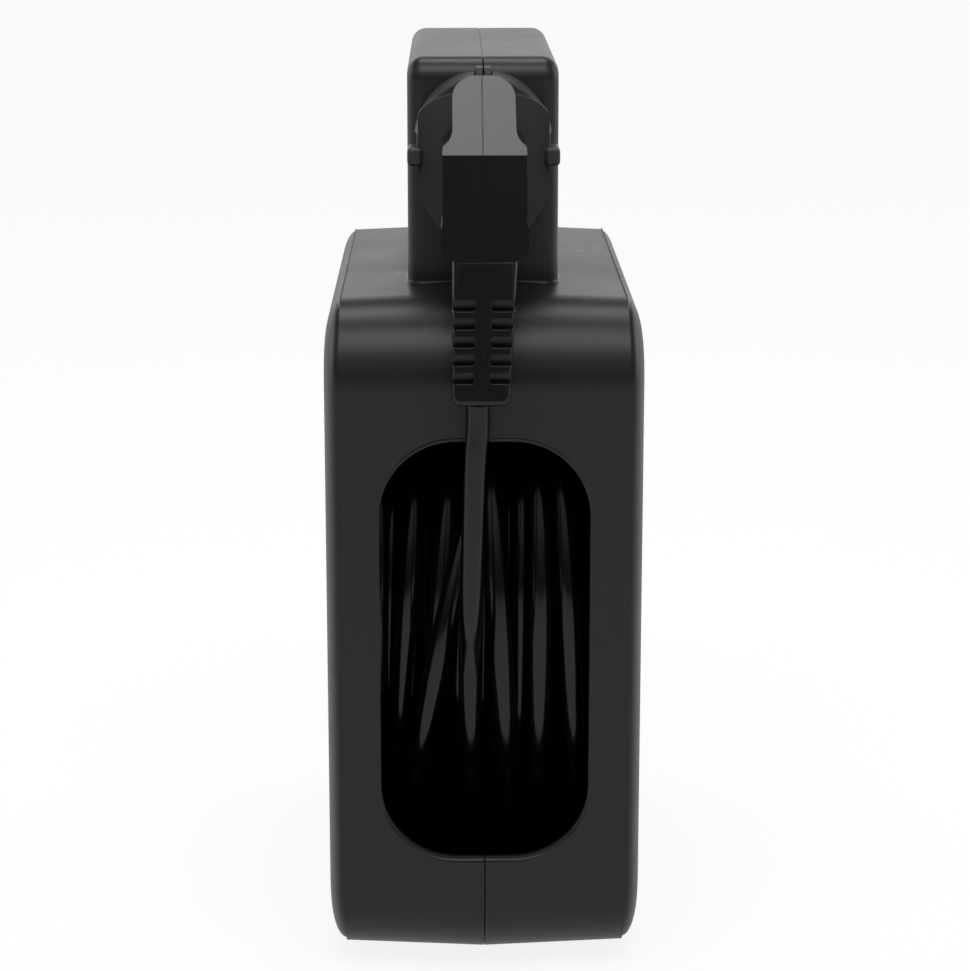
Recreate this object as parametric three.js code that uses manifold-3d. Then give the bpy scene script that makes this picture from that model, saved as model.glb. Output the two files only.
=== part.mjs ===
// A boxed extension cord reel: two moulded half shells with a carrying handle, a drum with
// four earthed sockets that turns inside them, its wound cord, and the angled plug that
// parks on the front pillar of the handle.
// Millimetres. +X is the socket side, -Y the narrow end with the cord outlet, +Z up.
// The origin is on the ground, under the middle of the housing.
import * as THREE from "three";
import { mergeVertices } from "three/addons/utils/BufferGeometryUtils.js";
import Module from "manifold-3d";

const wasm = await Module();
wasm.setup();

// ---------------------------------------------------------------- driving dimensions
const GAP = 0.3; // between pieces that touch
const CUT = 2; // how far a cutting tool runs past the face it cuts
const JOIN = 1; // how far joined forms run into each other
const FINE = 34; // sides of the large rounds
const MEDIUM = 18; // sides of hand-sized rounds
const SMALL = 10; // sides of screw heads and pins
const TINY = 8; // sides of shanks and sleeves

// The socket inserts set the drum's core, the wound cord on it sets the flanges, and the
// flanges set how long the housing is.
const SOCKET_CIRCLE = 39.5;
const SOCKET_RADIUS = 19.8;
const SOCKET_WALL = 1.7;
const SOCKET_LIP = 0.7; // how far its lip reaches under the panel
const SOCKET_CLEARANCE = 0.8; // from the lips to the inside of the core
const CORE_WALL = 2.5;
const CORE_RADIUS = SOCKET_CIRCLE + SOCKET_RADIUS + SOCKET_WALL + SOCKET_LIP +
  SOCKET_CLEARANCE + CORE_WALL;
const WOUND_DEPTH = 23; // from the core out to the flanges' rims
const FLANGE_RADIUS = CORE_RADIUS + WOUND_DEPTH;
const FLANGE_CLEARANCE = 5.4;

// housing shells
const WALL = 2.6;
const HOUSING_LENGTH = 2 * (FLANGE_RADIUS + FLANGE_CLEARANCE + WALL);
const HOUSING_HEIGHT = 208;
const CORNER_RADIUS = 26;
const FOOT_RISE = 1; // the seam's lowest line over the ground
const BAND_HALF_WIDTH = 43; // from the seam to the crease of the front band
const DRAFT_INSET = 1.8; // how much the walls draw in from the seam to the crease
const CREASE_STEP = 0.8;
const CHEEK_BULGE = 5;
const HOUSING_SIDE = BAND_HALF_WIDTH + CHEEK_BULGE; // from the seam to the flat of a cheek
const CHEEK_ROUND = 15;
const CHEEK_STEPS = 3;
const CORNER_STEPS = 5;
const EDGE_STEPS = 3;

// cord outlet in the narrow end
const OUTLET_WIDTH = 63;
const OUTLET_HEIGHT = 130;
const OUTLET_BOTTOM = 38;
const OUTLET_RADIUS = 23;
const OUTLET_LIP = 1.2;

// handle
const HANDLE_WIDTH = 46;
const HANDLE_FRONT = -53;
const HANDLE_REAR = 83;
const HANDLE_RISE = 68; // over the housing's top
const HANDLE_TOP = FOOT_RISE + HOUSING_HEIGHT + HANDLE_RISE;
const HANDLE_FRONT_ROUND = 7;
const HANDLE_REAR_ROUND = 14;
const HANDLE_EDGE = 5;
const GRIP_DEPTH = 22;
const FRONT_PILLAR_DEPTH = 27;
const REAR_PILLAR_DEPTH = 25;
const HAND_HOLE_ROUND = 12;
const HANDLE_WALL = 3;

// feet
const FOOT_LENGTH = 22;
const FOOT_WIDTH = 12;
const FOOT_INSET = 12; // from the crease in to the middle of a foot
const FOOT_SIDE = BAND_HALF_WIDTH - FOOT_INSET;
const FOOT_SPREAD = 58;
const FOOT_ROUND = 3;

// housing screws
const SCREW_SHANK = 1.9;
const SCREW_HEAD = 3.6;
const SCREW_HEAD_DEPTH = 2.6;
const SCREW_HEAD_TAPER = 0.8; // of the head's rim against its seat
const SCREW_SLOT_WIDTH = 0.9;
const SCREW_SLOT_DEPTH = 1.1;
const SCREW_LENGTH = 30;
const SCREW_WELL_RADIUS = 4.3;
const SCREW_HEAD_SEAT = 16; // from the seam to the shoulder under the head
const BOSS_RADIUS = 6.6;
const CORNER_SCREW_INSET = 22;

// drum
const DRUM_CENTRE = FOOT_RISE + HOUSING_HEIGHT / 2;
const FLANGE_THICKNESS = 2.5;
const FLANGE_RIB_COUNT = 12;
const FLANGE_RIB_HEIGHT = 0.9;
const LEFT_CLEARANCE = 0.9; // from the ribs to the left shell
const CORE_LEFT = WALL + LEFT_CLEARANCE + FLANGE_RIB_HEIGHT - HOUSING_SIDE;
const FLANGE_RIB_WIDTH = 2;
const FLANGE_RIB_START = 24;
const FLANGE_RIB_END = 82;
const STUB_RADIUS = 14; // bearing stub of the left shell
const STUB_LENGTH = 9;
const BEARING_CLEARANCE = 0.5;
const HUB_WALL = 2.5;

// drum face in the round window
const RIGHT_CLEARANCE = 3.3; // from the right flange to the right shell
const FLANGE_RIGHT = HOUSING_SIDE - WALL - RIGHT_CLEARANCE - FLANGE_THICKNESS;
const WINDOW_RADIUS = 74;
const WINDOW_CLEARANCE = 0.9;
const COLLAR_WALL = 2.6;
const PANEL_SUNK = 1.8; // how far the panel lies inside the cheek's flat
const PANEL_FACE = HOUSING_SIDE - PANEL_SUNK;
const PANEL_THICKNESS = 3;
const LEDGE_WIDTH = 5;

// sockets
const SOCKET_COUNT = 4;
const SOCKET_SIDES = 18;
const SOCKET_TURN = 45; // of the first socket, in degrees from +Y towards +Z
const SOCKET_DEPTH = 17.5;
const SOCKET_FLOOR = 3;
const SOCKET_RIM = 0.9; // how far a socket stands out of the panel
const PIN_SPACING = 19;
const PIN_HOLE_RADIUS = 3;
const GUIDE_RIB_WIDTH = 4.4;
const GUIDE_RIB_DEPTH = 1.8;
const EARTH_WIDTH = 5;
const EARTH_THICKNESS = 0.8;
const EARTH_BULGE = 1.1;

// contact rails behind the sockets
const SLEEVE_RADIUS = 3.7;
const SLEEVE_BORE = 2.6;
const SLEEVE_LENGTH = 11;
const RAIL_THICKNESS = 1;
const RAIL_WIDTH = 6;
const BASE_THICKNESS = 3;
const BASE_RADIUS = 53.5;
const BASE_POST_RADIUS = 4.2;
const BASE_POST_CIRCLE = 20;
const BASE_RIM = 2; // between the base's middle hole and its posts

// panel screws, button, knob
const PANEL_SCREW_CIRCLE = 64.5;
const PANEL_SCREW_HEAD = 3.1;
const PANEL_SCREW_SHANK = 1.5;
const PANEL_SCREW_LENGTH = 5.2;
const PANEL_SCREW_SEAT = 1; // what the panel keeps under a screw's head
const PANEL_SCREW_TURN = 22.5;
const BUTTON_RADIUS = 5.2;
const BUTTON_PROUD = 0.8;
const BUTTON_CHAMFER = 0.6;
const BUTTON_STEP = 1; // from the button's side in to its stem's bore
const BUTTON_TRAVEL = 2;
const BUTTON_COLLAR = 8.2;
const BUTTON_CLEARANCE = 0.4;
const BREAKER_WIDTH = 13;
const BREAKER_LENGTH = 24;
const BREAKER_DEPTH = 22;
const BREAKER_LUG = 4;
const KNOB_CIRCLE = 47;
const KNOB_ANGLE = 90; // from +Y towards +Z, between two sockets
const KNOB_RADIUS = 9.2;
const KNOB_DEPTH = 13;
const KNOB_LIP = 1.8;
const KNOB_DRAFT = 1; // how much the dish narrows to its floor
const KNOB_CLEARANCE = 0.4;
const KNOB_RIBS = 6;
const KNOB_RIB_RADIUS = 0.9;
const KNOB_RIB_SUNK = 0.4; // how far a rib's middle stands into the dish
const KNOB_PIN_RADIUS = 2.4;
const KNOB_CLIP_RADIUS = 4.6;
const KNOB_CLIP_THICKNESS = 1;

// wound cord
const CORD = 7; // diameter
const LOWER_TURNS = 8;
const UPPER_TURNS = 4;
const PITCH_STEP = 1; // how much wider apart the upper turns lie
const RIM_ROOM = 0.4; // from the upper turns to the flange's edge
const LAYER_STEP = 7.9;
const TURN_STEPS = 24;
const WINDING_SIDES = 6;
const FREE_CORD_SIDES = 8;
const FREE_CORD_STEPS = 20;
const CLIMB_TURN = 0.3; // share of a turn in which the cord climbs a layer
const LEAD_TURN = 0.25;
const LEAD_STEPS = 6;
const EXIT_ANGLE = 195; // where the free stretch leaves the drum, from +Y towards +Z
const SIDE_ROOM = 0.5; // from the last turns to the right flange
const LEFT_ROOM = 3.9; // from the first turn to the left flange

// cord clamp inside the drum
const CLAMP_LENGTH = 26;
const CLAMP_WIDTH = 9;
const CLAMP_HEIGHT = 5;
const CLAMP_ROUND = 2;
const CLAMP_SCREW_SPACING = 17;
const CLAMP_X = -12;
const CLAMP_SEAT = 10; // height of the seat over the outside of the drum's core

// plug
const PLUG_DROP = 24.4; // from the handle's top down to its pins
const PLUG_AXIS = HANDLE_TOP - PLUG_DROP;
const NOSE_RADIUS = 19.5;
const NOSE_SUNK = 4; // how far the nose sits in the pillar
const NOSE_CLEARANCE = 0.4;
const NOSE_DEPTH = 11.6; // of the nose in front of the pillar
const RIB_GROOVE_DEPTH = 2.2;
const GRIP_HALF = 18.8;
const GRIP_LOW = 16; // from the pins' height down to where the straight sides end
const GRIP_CHIN = 25.4;
const GRIP_CHIN_HALF = 13;
const GRIP_PLATE = 5;
const GRIP_SHOULDER = 17;
const GRIP_SIDE_TOP = 9;
const SCOOP_RADIUS = 38;
const SCOOP_DEPTH = 2.8;
const SCOOP_NARROW = 0.75; // a scoop's width against its depth
const SCOOP_TALL = 1.1; // a scoop's height against its depth
const SCOOP_INSIDE = 3.4; // from the grip's side to the middle of its scoop
const EAR_HALF_WIDTH = 22.8;
const EAR_LOW = -6.2;
const EAR_HIGH = -0.8;
const EAR_DEPTH = 13;
const RIDGE_HALF = 9.7;
const RIDGE_DROP = 0.4; // from the nose's top down to the ridge
const RIDGE_CROWN = 6;
const BODY_HALF = 12.2;
const BODY_EDGE = 0.2; // height of the body's front edge over the pins
const BODY_FLARE = 5.6;
const BODY_LOW = -28.6;
const BODY_FRONT = 43.4; // from the pillar to the body's front edge
const BODY_CHAMFER = 2.6;
const BODY_BELLY = 8; // how high the belly's curve turns in to the grip
const CORD_TILT = 10.5; // degrees that the cord end leans away from the housing
const RELIEF_LENGTH = 40;
const RELIEF_HALF = 9.4;
const RELIEF_END_HALF = 8.5;
const RELIEF_THICK = 5.7;
const RELIEF_END_THICK = 5;
const RELIEF_LEAN = -1.2;
const RELIEF_EDGE = 2;
const RELIEF_SLEEVE = 0.4; // rubber left round the cord where the relief is slotted
const CORD_ASIDE = 0.9; // how far beside the relief's middle the cord comes out
const RELIEF_SUNK = 0.05; // share of the relief that stands in the body
const SLOT_COUNT = 5;
const SLOT_PITCH = 5.3;
const SLOT_HEIGHT = 2.3;
const SLOT_SPINE = 2.5;
const END_BLOCK = 6;
const PIN_RADIUS = 2.4;
const PIN_LENGTH = 19;
const PIN_TIP = 1;
const PIN_ROOT = 6; // how far a pin stands in the nose
const PARK_HOLE_CLEARANCE = 0.4;
const NOTCH_WIDTH = 5.6;
const NOTCH_DEPTH = 2.2;
const TAB_LENGTH = 9.5;
const TAB_WIDTH = 4.8;
const TAB_THICKNESS = 2.2;
const TAB_CLEARANCE = 0.7;

// ---------------------------------------------------------------- shape helpers
const degrees = THREE.MathUtils.degToRad;

function material(color, roughness, metalness) {
  return new THREE.MeshStandardMaterial({ color, roughness, metalness, flatShading: true });
}

const housingPlastic = material(0x2b2b2d, 0.6, 0);
const drumPlastic = material(0x1c1c1e, 0.5, 0);
const panelPlastic = material(0x232325, 0.45, 0);
const cordRubber = material(0x161618, 0.4, 0);
const plugRubber = material(0x1d1d20, 0.4, 0);
const buttonPlastic = material(0xb3261e, 0.4, 0);
const brass = material(0xb9975a, 0.35, 1);
const nickel = material(0xbfc0c2, 0.28, 1);
const steel = material(0x9a9b9d, 0.35, 1);

// A closed geometry as a solid that can be joined and cut.
function solid(geometry) {
  const bare = new THREE.BufferGeometry();
  const loose = geometry.index ? geometry.toNonIndexed() : geometry;
  bare.setAttribute("position", loose.getAttribute("position"));
  const merged = mergeVertices(bare, 1e-4);
  const order = merged.index.array;
  const faces = [];
  for (let i = 0; i < order.length; i += 3) {
    const corners = order.slice(i, i + 3);
    if (new Set(corners).size === 3) {
      faces.push(...corners);
    }
  }
  return new wasm.Manifold(
    new wasm.Mesh({
      numProp: 3,
      vertProperties: new Float32Array(merged.attributes.position.array),
      triVerts: new Uint32Array(faces),
    }),
  );
}

// The solid again as a geometry.
function geometryOf(body) {
  const found = body.getMesh();
  const geometry = new THREE.BufferGeometry();
  geometry.setAttribute("position", new THREE.BufferAttribute(found.vertProperties, 3));
  geometry.setIndex(new THREE.BufferAttribute(found.triVerts, 1));
  return geometry;
}

// The same piece on the other side of the seam.
function mirrored(body) {
  const geometry = geometryOf(body);
  geometry.scale(-1, 1, 1);
  const order = geometry.index.array;
  for (let i = 0; i < order.length; i += 3) {
    const first = order[i];
    order[i] = order[i + 1];
    order[i + 1] = first;
  }
  return solid(geometry);
}

function mesh(name, body, look) {
  const geometry = body.isBufferGeometry ? body : geometryOf(body);
  const made = new THREE.Mesh(geometry, look);
  made.name = name;
  return made;
}

// A flat outline in Y and Z, drawn as (y, z), pushed from one X to another.
function alongX(points, from, to) {
  const geometry = new THREE.ExtrudeGeometry(new THREE.Shape(points), {
    depth: to - from,
    bevelEnabled: false,
  });
  const turn = new THREE.Matrix4().set(0, 0, 1, from, 1, 0, 0, 0, 0, 1, 0, 0, 0, 0, 0, 1);
  return geometry.applyMatrix4(turn);
}

// A flat outline in X and Z, drawn as (x, z), pushed from one Y back to a lower one.
function alongY(points, high, low) {
  const geometry = new THREE.ExtrudeGeometry(new THREE.Shape(points), {
    depth: high - low,
    bevelEnabled: false,
  });
  const turn = new THREE.Matrix4().set(1, 0, 0, 0, 0, 0, -1, high, 0, 1, 0, 0, 0, 0, 0, 1);
  return geometry.applyMatrix4(turn);
}

function roundX(radius, from, to, y = 0, z = 0, sides = MEDIUM, endRadius = radius) {
  const geometry = new THREE.CylinderGeometry(endRadius, radius, to - from, sides);
  geometry.rotateZ(-Math.PI / 2);
  return solid(geometry.translate((from + to) / 2, y, z));
}

function roundY(radius, from, to, x = 0, z = 0, sides = MEDIUM) {
  const geometry = new THREE.CylinderGeometry(radius, radius, to - from, sides);
  return solid(geometry.translate(0, (from + to) / 2, 0).translate(x, 0, z));
}

// A box between two corners.
function block(low, high) {
  const size = high.map((value, i) => value - low[i]);
  const geometry = new THREE.BoxGeometry(...size);
  return solid(geometry.translate(...low.map((value, i) => value + size[i] / 2)));
}

// Points round a box with rounded corners, from its upper right corner on, each one once.
// The corners' radii are given in the same order.
function roundedBox(low, high, radii, steps = CORNER_STEPS) {
  const points = [];
  for (let corner = 0; corner < 4; corner += 1) {
    const radius = radii[corner];
    const centreX = corner === 0 || corner === 3 ? high[0] - radius : low[0] + radius;
    const centreY = corner < 2 ? high[1] - radius : low[1] + radius;
    for (let step = 0; step <= steps; step += 1) {
      const angle = (corner + step / steps) * (Math.PI / 2);
      points.push(
        new THREE.Vector2(
          centreX + radius * Math.cos(angle),
          centreY + radius * Math.sin(angle),
        ),
      );
    }
  }
  return points;
}

function roundedRectangle(width, height, radius, centreX = 0, centreY = 0) {
  return roundedBox(
    [centreX - width / 2, centreY - height / 2],
    [centreX + width / 2, centreY + height / 2],
    [radius, radius, radius, radius],
  );
}

// Outline points (y, z) as a ring at one X.
function ringAt(x, points) {
  return points.map((point) => new THREE.Vector3(x, point.x, point.y));
}

// A closed skin through rings of points with equal counts, capped at both ends.
function loft(rings) {
  const count = rings[0].length;
  const positions = rings.flat().flatMap((point) => [point.x, point.y, point.z]);
  const faces = [];
  for (let r = 0; r + 1 < rings.length; r += 1) {
    for (let i = 0; i < count; i += 1) {
      const a = r * count + i;
      const b = r * count + ((i + 1) % count);
      faces.push(a, b, b + count, a, b + count, a + count);
    }
  }
  for (const [ring, first, flip] of [
    [rings[0], 0, true],
    [rings[rings.length - 1], (rings.length - 1) * count, false],
  ]) {
    const middle = new THREE.Vector3();
    ring.forEach((point) => middle.add(point));
    middle.divideScalar(count);
    const centre = positions.length / 3;
    positions.push(middle.x, middle.y, middle.z);
    for (let i = 0; i < count; i += 1) {
      const a = first + i;
      const b = first + ((i + 1) % count);
      faces.push(...(flip ? [b, a, centre] : [a, b, centre]));
    }
  }
  const geometry = new THREE.BufferGeometry();
  geometry.setAttribute("position", new THREE.Float32BufferAttribute(positions, 3));
  geometry.setIndex(faces);
  return geometry;
}

// ---------------------------------------------------------------- housing
// The housing's side outline, drawn in by an inset, at one X.
function housingRing(x, inset) {
  const radius = CORNER_RADIUS - inset;
  const halfLength = HOUSING_LENGTH / 2 - inset;
  const halfHeight = HOUSING_HEIGHT / 2 - inset;
  return ringAt(
    x,
    roundedBox(
      [-halfLength, DRUM_CENTRE - halfHeight],
      [halfLength, DRUM_CENTRE + halfHeight],
      [radius, radius, radius, radius],
    ),
  );
}

// One half of the housing's form: a drafted band, a small step, and the rounded cheek.
// depth offsets the whole skin inwards.
function housingForm(from, depth) {
  const rings = [];
  rings.push(housingRing(from, depth));
  const bandEnd = depth > 0 ? BAND_HALF_WIDTH - depth / 2 : BAND_HALF_WIDTH;
  rings.push(housingRing(bandEnd, DRAFT_INSET + depth));
  for (let step = 0; step <= CHEEK_STEPS; step += 1) {
    const angle = (step / CHEEK_STEPS) * (Math.PI / 2);
    const slopeX = CHEEK_ROUND * Math.sin(angle);
    const slopeInset = CHEEK_BULGE * Math.cos(angle);
    const slope = Math.hypot(slopeX, slopeInset);
    const x = BAND_HALF_WIDTH + CHEEK_BULGE * Math.sin(angle) - (depth * slopeX) / slope;
    const inset =
      DRAFT_INSET +
      CREASE_STEP +
      CHEEK_ROUND * (1 - Math.cos(angle)) +
      (depth * slopeInset) / slope;
    rings.push(housingRing(x, inset));
  }
  return solid(loft(rings));
}

// A box form along X whose outline grows or shrinks towards both sides by a rounded edge.
function edgedForm(low, high, radii, edge) {
  const rings = [];
  const half = HANDLE_WIDTH / 2;
  for (const side of [-1, 1]) {
    for (let step = 0; step <= EDGE_STEPS; step += 1) {
      const share = side < 0 ? step : EDGE_STEPS - step;
      const angle = (share / EDGE_STEPS) * (Math.PI / 2);
      const inset = edge * (1 - Math.sin(angle));
      const x = side * (half - Math.abs(edge) * (1 - Math.cos(angle)));
      rings.push(
        ringAt(
          x,
          roundedBox(
            low.map((value) => value + inset),
            high.map((value) => value - inset),
            radii.map((radius) => Math.max(radius - inset, JOIN)),
          ),
        ),
      );
    }
  }
  return solid(loft(rings));
}

function handleForm() {
  const base = FOOT_RISE + HOUSING_HEIGHT - CORNER_RADIUS / 2;
  const foot = HANDLE_EDGE + JOIN;
  const form = edgedForm(
    [HANDLE_FRONT, base - foot],
    [HANDLE_REAR, HANDLE_TOP],
    [HANDLE_REAR_ROUND, HANDLE_FRONT_ROUND, foot, foot],
    HANDLE_EDGE,
  );
  const sill = HAND_HOLE_ROUND + CORNER_RADIUS / 2;
  const round = HAND_HOLE_ROUND;
  const hole = edgedForm(
    [HANDLE_FRONT + FRONT_PILLAR_DEPTH, FOOT_RISE + HOUSING_HEIGHT - sill],
    [HANDLE_REAR - REAR_PILLAR_DEPTH, HANDLE_TOP - GRIP_DEPTH],
    [round, round, round, round],
    -HANDLE_EDGE,
  );
  return form.subtract(hole);
}

// The hollow inside the grip and the pillars, closed towards the parking place.
function handleHollow() {
  const low = FOOT_RISE + HOUSING_HEIGHT - CORNER_RADIUS / 2;
  const reach = HANDLE_WIDTH / 2 - HANDLE_WALL;
  const edge = HANDLE_EDGE / 2;
  const grip = roundedRectangle(
    HANDLE_REAR - HANDLE_FRONT - REAR_PILLAR_DEPTH - FRONT_PILLAR_DEPTH,
    GRIP_DEPTH - 2 * HANDLE_WALL,
    edge,
    (HANDLE_FRONT + FRONT_PILLAR_DEPTH + HANDLE_REAR - REAR_PILLAR_DEPTH) / 2,
    HANDLE_TOP - GRIP_DEPTH / 2,
  );
  const rearHeight = HANDLE_TOP - HANDLE_WALL - HANDLE_REAR_ROUND / 2 - low;
  const rear = roundedRectangle(
    REAR_PILLAR_DEPTH - 2 * HANDLE_WALL,
    rearHeight,
    edge,
    HANDLE_REAR - REAR_PILLAR_DEPTH / 2,
    low + rearHeight / 2,
  );
  return solid(alongX(grip, -CUT, reach)).add(solid(alongX(rear, -CUT, reach)));
}

// The outlet's cutter flares to the front, which leaves the slanted lip.
function outletCutter() {
  const front = -HOUSING_LENGTH / 2;
  const middle = OUTLET_BOTTOM + OUTLET_HEIGHT / 2;
  const ring = (y, grow) =>
    roundedRectangle(
      OUTLET_WIDTH + 2 * grow,
      OUTLET_HEIGHT + 2 * grow,
      OUTLET_RADIUS + grow,
      0,
      middle,
    ).map((point) => new THREE.Vector3(point.x, y, point.y));
  return solid(
    loft([
      ring(front + 2 * WALL, 0),
      ring(front + OUTLET_LIP, 0),
      ring(front, OUTLET_LIP),
      ring(front - CUT, OUTLET_LIP + CUT),
    ]),
  );
}

// Where the halves are screwed together, as [y, z].
function screwPlaces() {
  const reachY = HOUSING_LENGTH / 2 - CORNER_SCREW_INSET;
  const reachZ = HOUSING_HEIGHT / 2 - CORNER_SCREW_INSET;
  return [
    [-reachY, DRUM_CENTRE - reachZ],
    [reachY, DRUM_CENTRE - reachZ],
    [-reachY, DRUM_CENTRE + reachZ],
    [reachY, DRUM_CENTRE + reachZ],
    [HANDLE_FRONT + FRONT_PILLAR_DEPTH / 2, PLUG_AXIS - GRIP_CHIN],
    [HANDLE_REAR - REAR_PILLAR_DEPTH / 2, PLUG_AXIS - GRIP_LOW],
  ];
}

// The place on the front pillar where the plug parks: nose recess and two pin holes.
function parkingCutter() {
  const nose = roundY(
    NOSE_RADIUS + NOSE_CLEARANCE,
    HANDLE_FRONT - CUT,
    HANDLE_FRONT + NOSE_SUNK,
    0,
    PLUG_AXIS,
    MEDIUM,
  );
  let cutter = nose;
  for (const side of [-1, 1]) {
    cutter = cutter.add(
      roundY(
        PIN_RADIUS + PARK_HOLE_CLEARANCE,
        HANDLE_FRONT,
        HANDLE_FRONT + NOSE_SUNK + PIN_LENGTH,
        (side * PIN_SPACING) / 2,
        PLUG_AXIS,
        SMALL,
      ),
    );
  }
  return cutter;
}

// Half of the short tongue that reaches over the parked plug's rim.
function parkingTab() {
  const low = PLUG_AXIS + NOSE_RADIUS + TAB_CLEARANCE;
  return block(
    [GAP / 2, HANDLE_FRONT - TAB_LENGTH, low],
    [TAB_WIDTH / 2, HANDLE_FRONT + HANDLE_FRONT_ROUND, low + TAB_THICKNESS],
  );
}

function footPad(y) {
  const points = roundedRectangle(FOOT_WIDTH, FOOT_LENGTH, FOOT_ROUND, FOOT_SIDE, y);
  const geometry = new THREE.ExtrudeGeometry(new THREE.Shape(points), {
    depth: FOOT_RISE + WALL,
    bevelEnabled: false,
  });
  return solid(geometry);
}

// Everything that both halves share, on the +X side of the seam.
function halfShell() {
  const cavity = housingForm(-CUT, WALL);
  let shell = housingForm(GAP / 2, 0);
  const half = block(
    [GAP / 2, -HOUSING_LENGTH, -CUT],
    [HOUSING_SIDE + HANDLE_WIDTH, HOUSING_LENGTH, HANDLE_TOP + CUT],
  );
  shell = shell.add(handleForm().intersect(half));
  shell = shell.subtract(handleHollow());
  for (const side of [-1, 1]) {
    shell = shell.add(footPad(side * FOOT_SPREAD));
  }
  shell = shell.subtract(cavity);
  shell = shell.subtract(outletCutter());
  shell = shell.subtract(parkingCutter());
  return shell.add(parkingTab());
}

// A boss reaches from the cheek or the pillar wall to the seam.
function bossAt(y, z) {
  const wallInside = HOUSING_SIDE - WALL;
  return roundX(BOSS_RADIUS, GAP / 2, wallInside + JOIN, y, z, SMALL);
}

function rightShell() {
  let shell = halfShell();
  const form = housingForm(GAP / 2, 0).add(handleForm());
  for (const [y, z] of screwPlaces()) {
    shell = shell.add(bossAt(y, z).intersect(form));
    shell = shell.subtract(
      roundX(SCREW_SHANK, -CUT, SCREW_LENGTH - SCREW_HEAD_SEAT + JOIN, y, z, SMALL),
    );
  }
  const window = roundX(
    WINDOW_RADIUS,
    0,
    HOUSING_SIDE + CUT,
    0,
    DRUM_CENTRE,
    FINE,
  );
  return shell.subtract(window);
}

function leftShell() {
  let shell = halfShell();
  const form = housingForm(GAP / 2, 0).add(handleForm());
  for (const [y, z] of screwPlaces()) {
    shell = shell.add(bossAt(y, z).intersect(form));
    shell = shell.subtract(roundX(SCREW_SHANK + GAP, -CUT, SCREW_HEAD_SEAT + JOIN, y, z, SMALL));
    shell = shell.subtract(
      roundX(SCREW_WELL_RADIUS, SCREW_HEAD_SEAT, HOUSING_SIDE + CUT, y, z, SMALL),
    );
  }
  const wallInside = HOUSING_SIDE - WALL;
  const stub = roundX(STUB_RADIUS, wallInside - STUB_LENGTH, wallInside + JOIN, 0, DRUM_CENTRE);
  const bore = roundX(
    STUB_RADIUS - HUB_WALL,
    wallInside - STUB_LENGTH - CUT,
    wallInside,
    0,
    DRUM_CENTRE,
  );
  return mirrored(shell.add(stub).subtract(bore));
}

// A self-tapping screw lying along X, its head towards -X.
function screw(headRadius, headDepth, shankRadius, length) {
  const head = roundX(headRadius * SCREW_HEAD_TAPER, -headDepth, 0, 0, 0, SMALL, headRadius);
  const point = roundX(shankRadius, -GAP, length - shankRadius, 0, 0, TINY).add(
    roundX(shankRadius, length - shankRadius - GAP, length, 0, 0, TINY, GAP),
  );
  const slot = block(
    [-headDepth - CUT, -2 * headRadius, -SCREW_SLOT_WIDTH / 2],
    [SCREW_SLOT_DEPTH - headDepth, 2 * headRadius, SCREW_SLOT_WIDTH / 2],
  );
  return head.add(point).subtract(slot);
}

function housing() {
  const group = new THREE.Group();
  group.add(mesh("housing_right", rightShell(), housingPlastic));
  group.add(mesh("housing_left", leftShell(), housingPlastic));
  screwPlaces().forEach(([y, z], i) => {
    const body = screw(SCREW_HEAD, SCREW_HEAD_DEPTH, SCREW_SHANK - GAP, SCREW_LENGTH - JOIN);
    const made = mesh(`housing_screw_${i + 1}`, body, steel);
    made.position.set(-SCREW_HEAD_SEAT - GAP, y, z);
    group.add(made);
  });
  return group;
}

// ---------------------------------------------------------------- drum
// All drum pieces are built round the drum's axis, which the group carries to its place.
function drumCore() {
  const innerFace = CORE_LEFT + FLANGE_THICKNESS;
  const right = FLANGE_RIGHT - GAP;
  let body = roundX(FLANGE_RADIUS, CORE_LEFT, innerFace, 0, 0, FINE);
  body = body.add(roundX(CORE_RADIUS, CORE_LEFT, right, 0, 0, FINE));
  body = body.subtract(roundX(CORE_RADIUS - CORE_WALL, innerFace, right + CUT, 0, 0, FINE));
  for (let i = 0; i < FLANGE_RIB_COUNT; i += 1) {
    const rib = new THREE.BoxGeometry(
      FLANGE_RIB_HEIGHT + JOIN,
      FLANGE_RIB_END - FLANGE_RIB_START,
      FLANGE_RIB_WIDTH,
    );
    rib.translate(
      CORE_LEFT + JOIN - (FLANGE_RIB_HEIGHT + JOIN) / 2,
      (FLANGE_RIB_END + FLANGE_RIB_START) / 2,
      0,
    );
    rib.rotateX((i / FLANGE_RIB_COUNT) * 2 * Math.PI);
    body = body.add(solid(rib));
  }
  body = body.add(clampBlock(CLAMP_SEAT - CORE_RADIUS, CORE_WALL / 2 - CORE_RADIUS));
  const hubInside = STUB_RADIUS + BEARING_CLEARANCE;
  body = body.add(roundX(hubInside + HUB_WALL, CORE_LEFT, CORE_LEFT + STUB_LENGTH));
  return body.subtract(roundX(hubInside, CORE_LEFT - CUT, CORE_LEFT + STUB_LENGTH + CUT));
}

function collarRadius() {
  return WINDOW_RADIUS - WINDOW_CLEARANCE;
}

function panelRadius() {
  return collarRadius() - COLLAR_WALL - GAP;
}

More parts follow.
